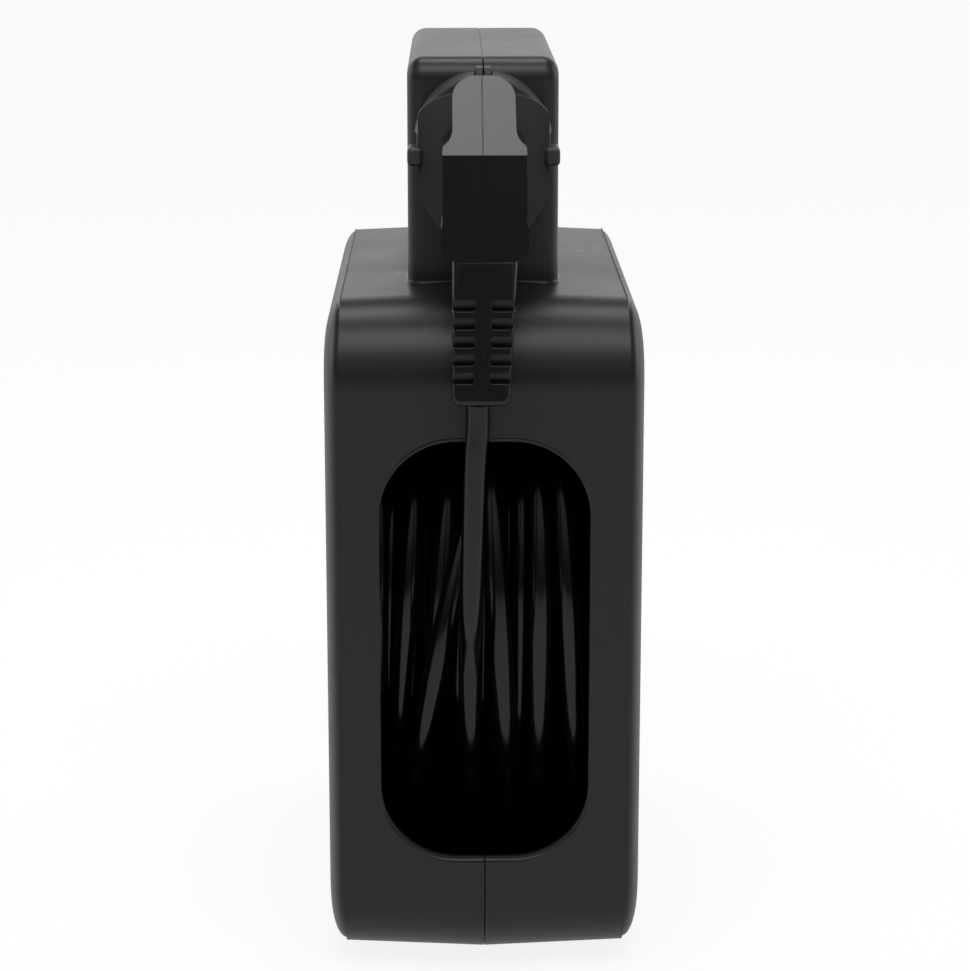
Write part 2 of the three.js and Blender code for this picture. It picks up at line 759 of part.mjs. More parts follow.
function drumFlange() {
  const outer = FLANGE_RIGHT + FLANGE_THICKNESS;
  let body = roundX(FLANGE_RADIUS, FLANGE_RIGHT, outer, 0, 0, FINE);
  body = body.add(roundX(collarRadius(), FLANGE_RIGHT, PANEL_FACE, 0, 0, FINE));
  body = body.subtract(roundX(panelRadius() + GAP, outer, PANEL_FACE + CUT, 0, 0, FINE));
  body = body.subtract(
    roundX(panelRadius() - LEDGE_WIDTH, FLANGE_RIGHT - CUT, outer + CUT, 0, 0, FINE),
  );
  for (let i = 0; i < SOCKET_COUNT; i += 1) {
    const [y, z] = panelScrewPlace(i);
    body = body.add(
      roundX(PANEL_SCREW_HEAD, FLANGE_RIGHT, outer, y, z, SMALL).intersect(
        roundX(panelRadius(), FLANGE_RIGHT, outer, 0, 0, FINE),
      ),
    );
    body = body.subtract(
      roundX(PANEL_SCREW_SHANK + GAP, FLANGE_RIGHT - CUT, outer + CUT, y, z, SMALL),
    );
  }
  return body;
}

// A place on a circle round the drum's axis, as [y, z].
function onCircle(radius, angle) {
  return [radius * Math.cos(degrees(angle)), radius * Math.sin(degrees(angle))];
}

function panelScrewPlace(i) {
  return onCircle(PANEL_SCREW_CIRCLE, (360 / SOCKET_COUNT) * i + PANEL_SCREW_TURN);
}

function socketAngle(i) {
  return SOCKET_TURN + (360 / SOCKET_COUNT) * i;
}

const SOCKET_BOTTOM = PANEL_FACE - SOCKET_DEPTH;
const FLOOR_BACK = SOCKET_BOTTOM - SOCKET_FLOOR;

function socketOuter() {
  return SOCKET_RADIUS + SOCKET_WALL;
}

// One socket insert: a round cup that is let into the panel from behind, up to its lip.
function socket(angle) {
  const [y, z] = onCircle(SOCKET_CIRCLE, angle);
  const back = PANEL_FACE - PANEL_THICKNESS - GAP;
  let cup = roundX(socketOuter(), FLOOR_BACK, PANEL_FACE + SOCKET_RIM, y, z, SOCKET_SIDES);
  cup = cup.add(roundX(socketOuter() + SOCKET_LIP, back - WALL, back, y, z, SOCKET_SIDES));
  return cup.subtract(socketHollow(angle));
}

// The plug recess with its two guide ribs left standing, the pin holes and the earth slots.
function socketHollow(angle) {
  const top = PANEL_FACE + SOCKET_RIM + CUT;
  let hollow = roundX(SOCKET_RADIUS, SOCKET_BOTTOM, top, 0, 0, SOCKET_SIDES);
  for (const side of [-1, 1]) {
    hollow = hollow.subtract(
      block(
        [SOCKET_BOTTOM - JOIN,
          side > 0 ? SOCKET_RADIUS - GUIDE_RIB_DEPTH : -SOCKET_RADIUS - JOIN,
          -GUIDE_RIB_WIDTH / 2],
        [PANEL_FACE - JOIN,
          side > 0 ? SOCKET_RADIUS + JOIN : GUIDE_RIB_DEPTH - SOCKET_RADIUS,
          GUIDE_RIB_WIDTH / 2],
      ),
    );
    hollow = hollow.add(
      roundX(PIN_HOLE_RADIUS, FLOOR_BACK - CUT, top, (side * PIN_SPACING) / 2, 0, SMALL),
    );
    const reach = SOCKET_RADIUS - EARTH_BULGE;
    const inner = reach - EARTH_THICKNESS - GAP;
    hollow = hollow.add(
      block(
        [FLOOR_BACK - CUT, -EARTH_WIDTH / 2 - GAP, side > 0 ? inner : -reach - GAP],
        [SOCKET_BOTTOM + JOIN, EARTH_WIDTH / 2 + GAP, side > 0 ? reach + GAP : -inner],
      ),
    );
  }
  const geometry = geometryOf(hollow);
  const [y, z] = onCircle(SOCKET_CIRCLE, angle);
  geometry.rotateX(degrees(angle));
  return solid(geometry.translate(0, y, z));
}

function knobPlace() {
  return onCircle(KNOB_CIRCLE, KNOB_ANGLE);
}

function socketPanel() {
  const back = PANEL_FACE - PANEL_THICKNESS;
  let body = roundX(panelRadius(), back, PANEL_FACE, 0, 0, FINE);
  const [knobY, knobZ] = knobPlace();
  const wellRadius = KNOB_RADIUS + KNOB_CLEARANCE;
  const wellDepth = KNOB_DEPTH + KNOB_CLEARANCE;
  const wellFloor = PANEL_FACE - wellDepth;
  body = body.add(
    roundX(wellRadius + SOCKET_WALL, wellFloor - PANEL_THICKNESS, PANEL_FACE, knobY, knobZ),
  );
  body = body.add(
    roundX(BUTTON_COLLAR, back - JOIN, PANEL_FACE + SOCKET_RIM, 0, 0, MEDIUM,
      BUTTON_COLLAR - BUTTON_CHAMFER),
  );
  for (let i = 0; i < SOCKET_COUNT; i += 1) {
    const [middleY, middleZ] = onCircle(SOCKET_CIRCLE, socketAngle(i));
    const hole = socketOuter() + GAP;
    body = body.subtract(
      roundX(hole, back - CUT, PANEL_FACE + CUT, middleY, middleZ, SOCKET_SIDES),
    );
    const [y, z] = panelScrewPlace(i);
    body = body.subtract(roundX(PANEL_SCREW_SHANK + GAP, back - CUT, PANEL_FACE, y, z, SMALL));
    body = body.subtract(
      roundX(PANEL_SCREW_HEAD + GAP, back + PANEL_SCREW_SEAT, PANEL_FACE + CUT, y, z, SMALL),
    );
  }
  body = body.subtract(roundX(wellRadius, wellFloor, PANEL_FACE + CUT, knobY, knobZ));
  body = body.subtract(
    roundX(KNOB_PIN_RADIUS + GAP, wellFloor - PANEL_THICKNESS - CUT, PANEL_FACE, knobY, knobZ,
      SMALL),
  );
  return body.subtract(
    roundX(BUTTON_RADIUS + BUTTON_CLEARANCE, back - CUT, PANEL_FACE + CUT, 0, 0, MEDIUM),
  );
}

// A bent earth contact: two sprung legs joined by a bar under the socket's floor.
function earthClip(angle) {
  const reach = SOCKET_RADIUS - EARTH_BULGE;
  const foot = FLOOR_BACK - GAP - EARTH_THICKNESS;
  const top = PANEL_FACE - 2 * EARTH_THICKNESS;
  const shape = new THREE.Shape();
  const inner = reach - EARTH_THICKNESS;
  const mouth = top - EARTH_WIDTH;
  const pinch = EARTH_BULGE + EARTH_THICKNESS;
  shape.moveTo(foot, -reach);
  shape.lineTo(mouth - EARTH_WIDTH, -reach);
  shape.lineTo(mouth, -reach + pinch);
  shape.lineTo(top, -reach);
  shape.lineTo(top, -inner);
  shape.lineTo(mouth, -inner + pinch);
  shape.lineTo(mouth - EARTH_WIDTH, -inner);
  shape.lineTo(foot + EARTH_THICKNESS, -inner);
  shape.lineTo(foot + EARTH_THICKNESS, inner);
  shape.lineTo(mouth - EARTH_WIDTH, inner);
  shape.lineTo(mouth, inner - pinch);
  shape.lineTo(top, inner);
  shape.lineTo(top, reach);
  shape.lineTo(mouth, reach - pinch);
  shape.lineTo(mouth - EARTH_WIDTH, reach);
  shape.lineTo(foot, reach);
  const geometry = new THREE.ExtrudeGeometry(shape, {
    depth: EARTH_WIDTH,
    bevelEnabled: false,
  });
  geometry.translate(0, 0, -EARTH_WIDTH / 2);
  geometry.rotateX(Math.PI / 2 + degrees(angle));
  const [y, z] = onCircle(SOCKET_CIRCLE, angle);
  return solid(geometry.translate(0, y, z));
}

const SLEEVE_TOP = FLOOR_BACK - GAP;
const SLEEVE_BACK = SLEEVE_TOP - SLEEVE_LENGTH;

// A contact ring with a sleeve behind one pin hole of every socket.
function contactRail(side) {
  const circle = SOCKET_CIRCLE + (side * PIN_SPACING) / 2;
  const back = SLEEVE_BACK - RAIL_THICKNESS;
  let rail = roundX(circle + RAIL_WIDTH / 2, back, SLEEVE_BACK, 0, 0, SOCKET_SIDES);
  rail = rail.subtract(
    roundX(circle - RAIL_WIDTH / 2, back - CUT, SLEEVE_BACK + CUT, 0, 0, SOCKET_SIDES),
  );
  for (let i = 0; i < SOCKET_COUNT; i += 1) {
    const [y, z] = onCircle(circle, socketAngle(i));
    rail = rail.add(roundX(SLEEVE_RADIUS, back, SLEEVE_TOP, y, z, TINY));
    rail = rail.subtract(roundX(SLEEVE_BORE, back - CUT, SLEEVE_TOP + CUT, y, z, TINY));
  }
  return rail;
}

// The plate that carries the rails, with posts that reach the panel between the sockets.
function contactBase() {
  const front = SLEEVE_BACK - RAIL_THICKNESS - GAP;
  let body = roundX(BASE_RADIUS, front - BASE_THICKNESS, front, 0, 0, SOCKET_SIDES);
  body = body.subtract(
    roundX(BASE_POST_CIRCLE - BASE_POST_RADIUS - BASE_RIM, front - BASE_THICKNESS - CUT, front + CUT),
  );
  for (let i = 0; i < SOCKET_COUNT; i += 1) {
    const [y, z] = onCircle(BASE_POST_CIRCLE, (360 / SOCKET_COUNT) * i);
    const top = PANEL_FACE - PANEL_THICKNESS - GAP;
    body = body.add(roundX(BASE_POST_RADIUS, front - BASE_THICKNESS, top, y, z, TINY));
  }
  return body;
}

const BREAKER_TOP = PANEL_FACE - PANEL_THICKNESS - JOIN - GAP;

// The breaker body hangs behind the panel; its bore takes the stem of the button.
function thermalCutout() {
  const back = BREAKER_TOP - BREAKER_DEPTH;
  let body = block(
    [back, -BREAKER_LENGTH / 2, -BREAKER_WIDTH / 2],
    [BREAKER_TOP, BREAKER_LENGTH / 2, BREAKER_WIDTH / 2],
  );
  body = body.subtract(
    roundX(BUTTON_RADIUS - BUTTON_STEP, BREAKER_TOP - 2 * BUTTON_TRAVEL - CUT, BREAKER_TOP + CUT, 0, 0,
      SMALL),
  );
  for (const side of [-1, 1]) {
    const y = (side * BREAKER_LENGTH) / 4;
    body = body.add(
      block(
        [back - BREAKER_LUG, y - BREAKER_LUG / 2, -EARTH_THICKNESS],
        [back + JOIN, y + BREAKER_LUG / 2, EARTH_THICKNESS],
      ),
    );
  }
  return body;
}

function resetButton() {
  const face = PANEL_FACE + SOCKET_RIM + BUTTON_PROUD;
  const shoulder = PANEL_FACE - PANEL_THICKNESS + BUTTON_TRAVEL;
  const edge = face - BUTTON_CHAMFER;
  const cap = roundX(BUTTON_RADIUS, shoulder, edge).add(
    roundX(BUTTON_RADIUS, edge, face, 0, 0, MEDIUM, BUTTON_RADIUS - BUTTON_CHAMFER),
  );
  const stem = BUTTON_RADIUS - BUTTON_STEP - BUTTON_CLEARANCE;
  return cap.add(roundX(stem, BREAKER_TOP - BUTTON_TRAVEL, face - JOIN, 0, 0, SMALL));
}

// A hollow finger knob that lies in its well and turns on a headed pin.
function windingKnob() {
  const floor = PANEL_FACE - KNOB_DEPTH;
  const top = PANEL_FACE;
  let body = roundX(KNOB_RADIUS, floor, top);
  body = body.subtract(
    roundX(KNOB_RADIUS - KNOB_LIP - KNOB_DRAFT, floor + KNOB_LIP, top + CUT, 0, 0, MEDIUM,
      KNOB_RADIUS - KNOB_LIP),
  );
  for (let i = 0; i < KNOB_RIBS; i += 1) {
    const [y, z] = onCircle(KNOB_RADIUS - KNOB_LIP - KNOB_RIB_SUNK, (360 / KNOB_RIBS) * i);
    body = body.add(roundX(KNOB_RIB_RADIUS, floor + JOIN, top - JOIN, y, z, TINY));
  }
  return body.subtract(roundX(KNOB_PIN_RADIUS + GAP, floor - CUT, top, 0, 0, SMALL));
}

// The pin passes the knob's floor and the well's floor and ends in a clip groove.
function knobPin() {
  const inside = PANEL_FACE - KNOB_DEPTH + KNOB_LIP + GAP;
  const outside = PANEL_FACE - KNOB_DEPTH - KNOB_CLEARANCE - PANEL_THICKNESS - GAP;
  const head = roundX(KNOB_CLIP_RADIUS, inside, inside + KNOB_CLIP_THICKNESS, 0, 0, MEDIUM);
  const end = outside - KNOB_CLIP_THICKNESS - JOIN;
  const shank = roundX(KNOB_PIN_RADIUS, end, inside + GAP, 0, 0, SMALL);
  const clip = roundX(KNOB_CLIP_RADIUS, outside - KNOB_CLIP_THICKNESS, outside);
  return head.add(shank).add(clip);
}

// A block across the drum with the groove of the cord in its end at Z = top and two bores.
function clampBlock(top, bottom) {
  const outline = new THREE.Shape(
    roundedRectangle(CLAMP_LENGTH, CLAMP_WIDTH, CLAMP_ROUND, CLAMP_X),
  );
  const form = new THREE.ExtrudeGeometry(outline, {
    depth: Math.abs(top - bottom),
    bevelEnabled: false,
  });
  let body = solid(form.translate(0, 0, Math.min(top, bottom)));
  const groove = new THREE.CylinderGeometry(CORD / 2, CORD / 2, 2 * CLAMP_WIDTH, SMALL);
  body = body.subtract(solid(groove.translate(CLAMP_X, 0, top)));
  for (const side of [-1, 1]) {
    const size = PANEL_SCREW_SHANK + GAP;
    const bore = new THREE.CylinderGeometry(size, size, 2 * CLAMP_SEAT, TINY);
    bore.rotateX(Math.PI / 2);
    bore.translate(CLAMP_X + (side * CLAMP_SCREW_SPACING) / 2, 0, top);
    body = body.subtract(solid(bore));
  }
  return body;
}

// ---------------------------------------------------------------- wound cord
const UPPER_RADIUS = FLANGE_RADIUS - RIM_ROOM - CORD / 2;
const LOWER_RADIUS = UPPER_RADIUS - LAYER_STEP;
const INNER_RADIUS = LOWER_RADIUS - CORD / 2 - GAP;

function smooth(share) {
  const s = Math.min(Math.max(share, 0), 1);
  return s * s * (3 - 2 * s);
}

const WINDING_RIGHT = FLANGE_RIGHT - SIDE_ROOM - CORD / 2;
const WINDING_LEFT = CORE_LEFT + FLANGE_THICKNESS + LEFT_ROOM + CORD / 2;
const TURN_PITCH = (WINDING_RIGHT - WINDING_LEFT) / (LOWER_TURNS - CLIMB_TURN);
const UPPER_PITCH = TURN_PITCH + PITCH_STEP;

// The middle line of the wound tube: a full layer to the right, a climb beside the right
// flange, and the upper layer back to where the free stretch leaves.
function windingLine() {
  const last = LOWER_TURNS + UPPER_TURNS;
  const steps = Math.round(last * TURN_STEPS);
  const line = [];
  for (let i = 0; i <= steps; i += 1) {
    const turns = i / TURN_STEPS;
    const past = turns - LOWER_TURNS;
    const climb = smooth((past + CLIMB_TURN) / CLIMB_TURN);
    const radius = LOWER_RADIUS + (UPPER_RADIUS - LOWER_RADIUS) * climb;
    const x =
      WINDING_RIGHT -
      TURN_PITCH * Math.max(-CLIMB_TURN - past, 0) -
      UPPER_PITCH * Math.max(past, 0);
    const angle = degrees(EXIT_ANGLE) + (last - turns) * 2 * Math.PI;
    line.push(new THREE.Vector3(x, radius * Math.cos(angle), radius * Math.sin(angle)));
  }
  const end = line[line.length - 1];
  line.push(end.clone().addScaledVector(exitDirection(), CORD));
  return line;
}

// The direction in which the wound cord leaves the drum, in the plane of its turns.
function exitDirection() {
  const angle = degrees(EXIT_ANGLE);
  return new THREE.Vector3(0, Math.sin(angle), -Math.cos(angle));
}

// A tube of the cord's diameter along a line, with square ends.
function tubeAlong(line, sides) {
  const rings = line.map((point, i) => {
    const before = line[Math.max(i - 1, 0)];
    const after = line[Math.min(i + 1, line.length - 1)];
    const along = after.clone().sub(before).normalize();
    const side = new THREE.Vector3(1, 0, 0);
    side.addScaledVector(along, -side.dot(along)).normalize();
    const up = along.clone().cross(side);
    const ring = [];
    for (let k = 0; k < sides; k += 1) {
      const turn = (k / sides) * 2 * Math.PI;
      ring.push(
        point
          .clone()
          .addScaledVector(side, (CORD / 2) * Math.cos(turn))
          .addScaledVector(up, (CORD / 2) * Math.sin(turn)),
      );
    }
    return ring;
  });
  return loft(rings);
}

// The least clear space between turns of the tube, measured on its points.
function leastGap(line) {
  let least = Infinity;
  const apart = TURN_STEPS / 2;
  for (let i = 0; i < line.length; i += 1) {
    for (let k = i + apart; k + 1 < line.length; k += 1) {
      const part = new THREE.Line3(line[k], line[k + 1]);
      const near = part.closestPointToPoint(line[i], true, new THREE.Vector3());
      least = Math.min(least, near.distanceTo(line[i]) - CORD);
    }
  }
  return least;
}

// The cord comes up out of the layer below, straight for one diameter at its end.
function leadLine() {
  const [start, next] = windingLine();
  const startAngle = degrees(EXIT_ANGLE) + (LOWER_TURNS + UPPER_TURNS) * 2 * Math.PI;
  const back = start.clone().sub(next).normalize();
  const line = [
    start.clone().addScaledVector(back, GAP),
    start.clone().addScaledVector(back, CORD),
  ];
  for (let step = LEAD_STEPS / 3; step <= LEAD_STEPS; step += 1) {
    const share = step / LEAD_STEPS;
    const angle = startAngle + LEAD_TURN * share * 2 * Math.PI;
    const radius = LOWER_RADIUS - (CORD + JOIN) * share * share;
    line.push(
      new THREE.Vector3(start.x, radius * Math.cos(angle), radius * Math.sin(angle)),
    );
  }
  return line;
}

// The layers under the wound tube, as the plain core on which it lies.
function windingCore() {
  const left = CORE_LEFT + FLANGE_THICKNESS + GAP;
  const right = FLANGE_RIGHT - GAP;
  let body = roundX(INNER_RADIUS, left, right, 0, 0, FINE);
  body = body.add(solid(tubeAlong(leadLine(), WINDING_SIDES)));
  return body.subtract(roundX(CORE_RADIUS + GAP, left - CUT, right + CUT, 0, 0, FINE));
}

function drum() {
  const group = new THREE.Group();
  group.position.set(0, 0, DRUM_CENTRE);
  group.add(mesh("drum_core", drumCore(), drumPlastic));
  group.add(mesh("drum_flange", drumFlange(), drumPlastic));
  group.add(mesh("socket_panel", socketPanel(), panelPlastic));
  for (let i = 0; i < SOCKET_COUNT; i += 1) {
    group.add(mesh(`socket_${i + 1}`, socket(socketAngle(i)), panelPlastic));
    group.add(mesh(`earth_clip_${i + 1}`, earthClip(socketAngle(i)), nickel));
  }
  group.add(mesh("live_rail", contactRail(-1), brass));
  group.add(mesh("neutral_rail", contactRail(1), brass));
  group.add(mesh("contact_base", contactBase(), drumPlastic));
  for (let i = 0; i < SOCKET_COUNT; i += 1) {
    const body = screw(
      PANEL_SCREW_HEAD,
      PANEL_THICKNESS - PANEL_SCREW_SEAT - GAP,
      PANEL_SCREW_SHANK,
      PANEL_SCREW_LENGTH,
    );
    const made = mesh(`panel_screw_${i + 1}`, body, steel);
    const [y, z] = panelScrewPlace(i);
    made.rotation.z = Math.PI;
    made.position.set(PANEL_FACE - PANEL_THICKNESS + PANEL_SCREW_SEAT + GAP, y, z);
    group.add(made);
  }
  group.add(mesh("thermal_cutout", thermalCutout(), drumPlastic));
  group.add(mesh("reset_button", resetButton(), buttonPlastic));
  const [knobY, knobZ] = knobPlace();
  const knob = new THREE.Group();
  knob.position.set(0, knobY, knobZ);
  knob.add(mesh("winding_knob", windingKnob(), drumPlastic));
  knob.add(mesh("knob_pin", knobPin(), steel));
  group.add(knob);
  const seat = CLAMP_SEAT - CORE_RADIUS + GAP;
  group.add(mesh("cord_clamp", clampBlock(seat, seat + CLAMP_HEIGHT), drumPlastic));
  [-1, 1].forEach((side, i) => {
    const body = screw(
      PANEL_SCREW_HEAD,
      PANEL_THICKNESS - PANEL_SCREW_SEAT - GAP,
      PANEL_SCREW_SHANK,
      CLAMP_HEIGHT + CLAMP_SEAT / 2,
    );
    const made = mesh(`clamp_screw_${i + 1}`, body, steel);
    made.rotation.y = Math.PI / 2;
    made.position.set(
      CLAMP_X + (side * CLAMP_SCREW_SPACING) / 2,
      0,
      seat + CLAMP_HEIGHT + GAP,
    );
    group.add(made);
  });
  group.add(mesh("winding_core", windingCore(), cordRubber));
  const line = windingLine();
  console.log(`least gap between the turns of the wound cord: ${leastGap(line).toFixed(2)} mm`);
  group.add(mesh("winding", tubeAlong(line, WINDING_SIDES), cordRubber));
  return group;
}

// ---------------------------------------------------------------- plug
// The plug is built with its pins' middle at the origin and the pillar's face at Y = 0.
// The grip plate has lower shoulders than the nose behind it, and a chin below.
function gripShape() {
  const shape = new THREE.Shape();
  const curve = RIDGE_HALF + GRIP_PLATE;
  shape.moveTo(GRIP_CHIN_HALF, -GRIP_CHIN);
  shape.lineTo(GRIP_HALF, -GRIP_LOW);
  shape.lineTo(GRIP_HALF, GRIP_SIDE_TOP);
  shape.quadraticCurveTo(curve, GRIP_SHOULDER - JOIN, RIDGE_HALF, GRIP_SHOULDER);
  shape.lineTo(-RIDGE_HALF, GRIP_SHOULDER);
  shape.quadraticCurveTo(-curve, GRIP_SHOULDER - JOIN, -GRIP_HALF, GRIP_SIDE_TOP);
  shape.lineTo(-GRIP_HALF, -GRIP_LOW);
  shape.lineTo(-GRIP_CHIN_HALF, -GRIP_CHIN);
  return shape;
}

// Seen from the front, the ridge flares to the body's full width at its front edge.
function ridgeFront() {
  const shape = new THREE.Shape();
  const top = NOSE_RADIUS - RIDGE_DROP;
  const waist = BODY_EDGE + BODY_FLARE;
  shape.moveTo(RELIEF_HALF, BODY_LOW - BODY_CHAMFER);
  shape.lineTo(BODY_HALF, BODY_LOW);
  shape.lineTo(BODY_HALF, BODY_EDGE);
  shape.quadraticCurveTo(RIDGE_HALF, BODY_EDGE + BODY_FLARE / 3, RIDGE_HALF, waist);
  shape.lineTo(RIDGE_HALF, top - RIDGE_CROWN);
  shape.quadraticCurveTo(RIDGE_HALF, top, RIDGE_HALF - RIDGE_CROWN, top);
  shape.lineTo(RIDGE_CROWN - RIDGE_HALF, top);
  shape.quadraticCurveTo(-RIDGE_HALF, top, -RIDGE_HALF, top - RIDGE_CROWN);
  shape.lineTo(-RIDGE_HALF, waist);
  shape.quadraticCurveTo(-RIDGE_HALF, BODY_EDGE + BODY_FLARE / 3, -BODY_HALF, BODY_EDGE);
  shape.lineTo(-BODY_HALF, BODY_LOW);
  shape.lineTo(-RELIEF_HALF, BODY_LOW - BODY_CHAMFER);
  return shape;
}

// How far the tilted cord end has moved to the front at a height below the pins.
function tiltAt(z) {
  return (BODY_EDGE - z) * Math.tan(degrees(CORD_TILT));
}

// Seen from the side, as (y, z): the sloping top, the leaning front and the belly.
function ridgeSide() {
  const shape = new THREE.Shape();
  const low = BODY_LOW - BODY_CHAMFER;
  const front = -BODY_FRONT;
  const back = front + 2 * RELIEF_THICK + JOIN;
  const top = NOSE_RADIUS - RIDGE_DROP;
  shape.moveTo(JOIN - NOSE_DEPTH, top);
  shape.lineTo(-NOSE_DEPTH - JOIN, top);
  shape.lineTo(front, BODY_EDGE);
  shape.lineTo(front - tiltAt(low), low);
  shape.lineTo(back - tiltAt(low), low);
  shape.quadraticCurveTo(
    back - tiltAt(BODY_LOW) + JOIN,
    BODY_LOW + BODY_BELLY,
    JOIN - NOSE_DEPTH,
    -GRIP_LOW,
  );
  return shape;
}

// The relief's middle line starts under the body and leans with the cord.
function reliefCentre(share) {
  const z = BODY_LOW - BODY_CHAMFER - share * RELIEF_LENGTH;
  const y = -BODY_FRONT - tiltAt(z) + RELIEF_THICK;
  return new THREE.Vector3(RELIEF_LEAN * share, y, z);
}

function reliefRing(share, halfWidth, halfThick, edge = RELIEF_EDGE) {
  const middle = reliefCentre(share);
  return roundedRectangle(2 * halfWidth, 2 * halfThick, edge).map(
    (point) => new THREE.Vector3(middle.x + point.x, middle.y - point.y, middle.z),
  );
}

function strainRelief() {
  let body = solid(
    loft([
      reliefRing(-RELIEF_SUNK, RELIEF_HALF, RELIEF_THICK),
      reliefRing(1, RELIEF_END_HALF, RELIEF_END_THICK),
    ]),
  );
  const sleeve = CORD / 2 + RELIEF_SLEEVE;
  const cord = solid(
    loft([
      reliefRing(-RELIEF_SUNK, sleeve, sleeve, CORD / 3),
      reliefRing(1, sleeve, sleeve, CORD / 3),
    ]),
  );
  for (let i = 0; i < SLOT_COUNT; i += 1) {
    const share = 1 - (END_BLOCK + SLOT_HEIGHT / 2 + SLOT_PITCH * i) / RELIEF_LENGTH;
    const middle = reliefCentre(share);
    for (const side of [-1, 1]) {
      const near = middle.x + side * SLOT_SPINE;
      const far = middle.x + side * 2 * RELIEF_HALF;
      const slot = block(
        [Math.min(near, far), middle.y - 2 * RELIEF_THICK, middle.z - SLOT_HEIGHT / 2],
        [Math.max(near, far), middle.y + 2 * RELIEF_THICK, middle.z + SLOT_HEIGHT / 2],
      );
      body = body.subtract(slot.subtract(cord));
    }
  }
  return body;
}

// Two earth notches, two grooves for a socket's guide ribs, and the bores of the pins.
function noseCutter() {
  const front = JOIN - NOSE_DEPTH;
  const back = NOSE_SUNK + CUT;
  const notch = NOSE_RADIUS - NOTCH_DEPTH;
  const groove = NOSE_RADIUS - RIB_GROOVE_DEPTH;
  const halfRib = GUIDE_RIB_WIDTH / 2 + NOSE_CLEARANCE;
  let cutter = null;
  for (const side of [-1, 1]) {
    const pieces = [
      block(
        [-NOTCH_WIDTH / 2, front, side > 0 ? notch : -NOSE_RADIUS - CUT],
        [NOTCH_WIDTH / 2, back, side > 0 ? NOSE_RADIUS + CUT : -notch],
      ),
      block(
        [side > 0 ? groove : -NOSE_RADIUS - CUT, front, -halfRib],
        [side > 0 ? NOSE_RADIUS + CUT : -groove, back, halfRib],
      ),
      roundY(PIN_RADIUS + GAP, -PIN_ROOT, back, (side * PIN_SPACING) / 2, 0, SMALL),
    ];
    for (const piece of pieces) {
      cutter = cutter ? cutter.add(piece) : piece;
    }
  }
  return cutter;
}

function plugBody() {
  const plate = NOSE_DEPTH + GRIP_PLATE;
  let body = roundY(NOSE_RADIUS, -NOSE_DEPTH, NOSE_SUNK - GAP, 0, 0, SOCKET_SIDES);
  body = body.subtract(noseCutter());
  let grip = solid(alongY(gripShape().getPoints(CORNER_STEPS), -NOSE_DEPTH, -plate));
  for (const side of [-1, 1]) {
    const scoop = new THREE.SphereGeometry(SCOOP_RADIUS, MEDIUM, SMALL);
    scoop.scale(SCOOP_NARROW, 1, SCOOP_TALL);
    scoop.translate(
      side * (GRIP_HALF - SCOOP_INSIDE),
      SCOOP_DEPTH - plate - SCOOP_RADIUS,
      GRIP_SIDE_TOP / 2,
    );
    grip = grip.subtract(solid(scoop));
    const low = side > 0 ? GRIP_HALF - JOIN : -EAR_HALF_WIDTH;
    const high = side > 0 ? EAR_HALF_WIDTH : JOIN - GRIP_HALF;
    grip = grip.add(block([low, -plate, EAR_LOW], [high, EAR_DEPTH - plate, EAR_HIGH]));
  }
  const ridge = solid(
    alongY(ridgeFront().getPoints(CORNER_STEPS), JOIN - NOSE_DEPTH, -2 * BODY_FRONT),
  ).intersect(
    solid(alongX(ridgeSide().getPoints(CORNER_STEPS), -2 * BODY_HALF, 2 * BODY_HALF)),
  );
  return body.add(grip).add(ridge).add(strainRelief());
}

function plugPin() {
  const shoulder = NOSE_SUNK + PIN_LENGTH - PIN_TIP - JOIN;
  const tip = new THREE.CylinderGeometry(PIN_RADIUS - PIN_TIP, PIN_RADIUS, PIN_TIP, SMALL);
  const shank = roundY(PIN_RADIUS, GAP - PIN_ROOT, shoulder, 0, 0, SMALL);
  return shank.add(solid(tip.translate(0, shoulder + PIN_TIP / 2, 0)));
}

// A sprung strip on the floor of an earth notch.
function earthStrip(side) {
  const near = NOSE_RADIUS - NOTCH_DEPTH + GAP;
  const far = near + EARTH_THICKNESS;
  return block(
    [-NOTCH_WIDTH / 2 + GAP, JOIN - NOSE_DEPTH + GAP, side > 0 ? near : -far],
    [NOTCH_WIDTH / 2 - GAP, NOSE_SUNK - GAP, side > 0 ? far : -near],
  );
}

function plug() {
  const group = new THREE.Group();
  group.position.set(0, HANDLE_FRONT, PLUG_AXIS);
  group.add(mesh("plug_body", plugBody(), plugRubber));
  [-1, 1].forEach((side, i) => {
    const pin = mesh(`plug_pin_${i + 1}`, plugPin(), nickel);
    pin.position.x = (side * PIN_SPACING) / 2;
    group.add(pin);
    group.add(mesh(`earth_strip_${i + 1}`, earthStrip(side), nickel));
  });
  return group;
}

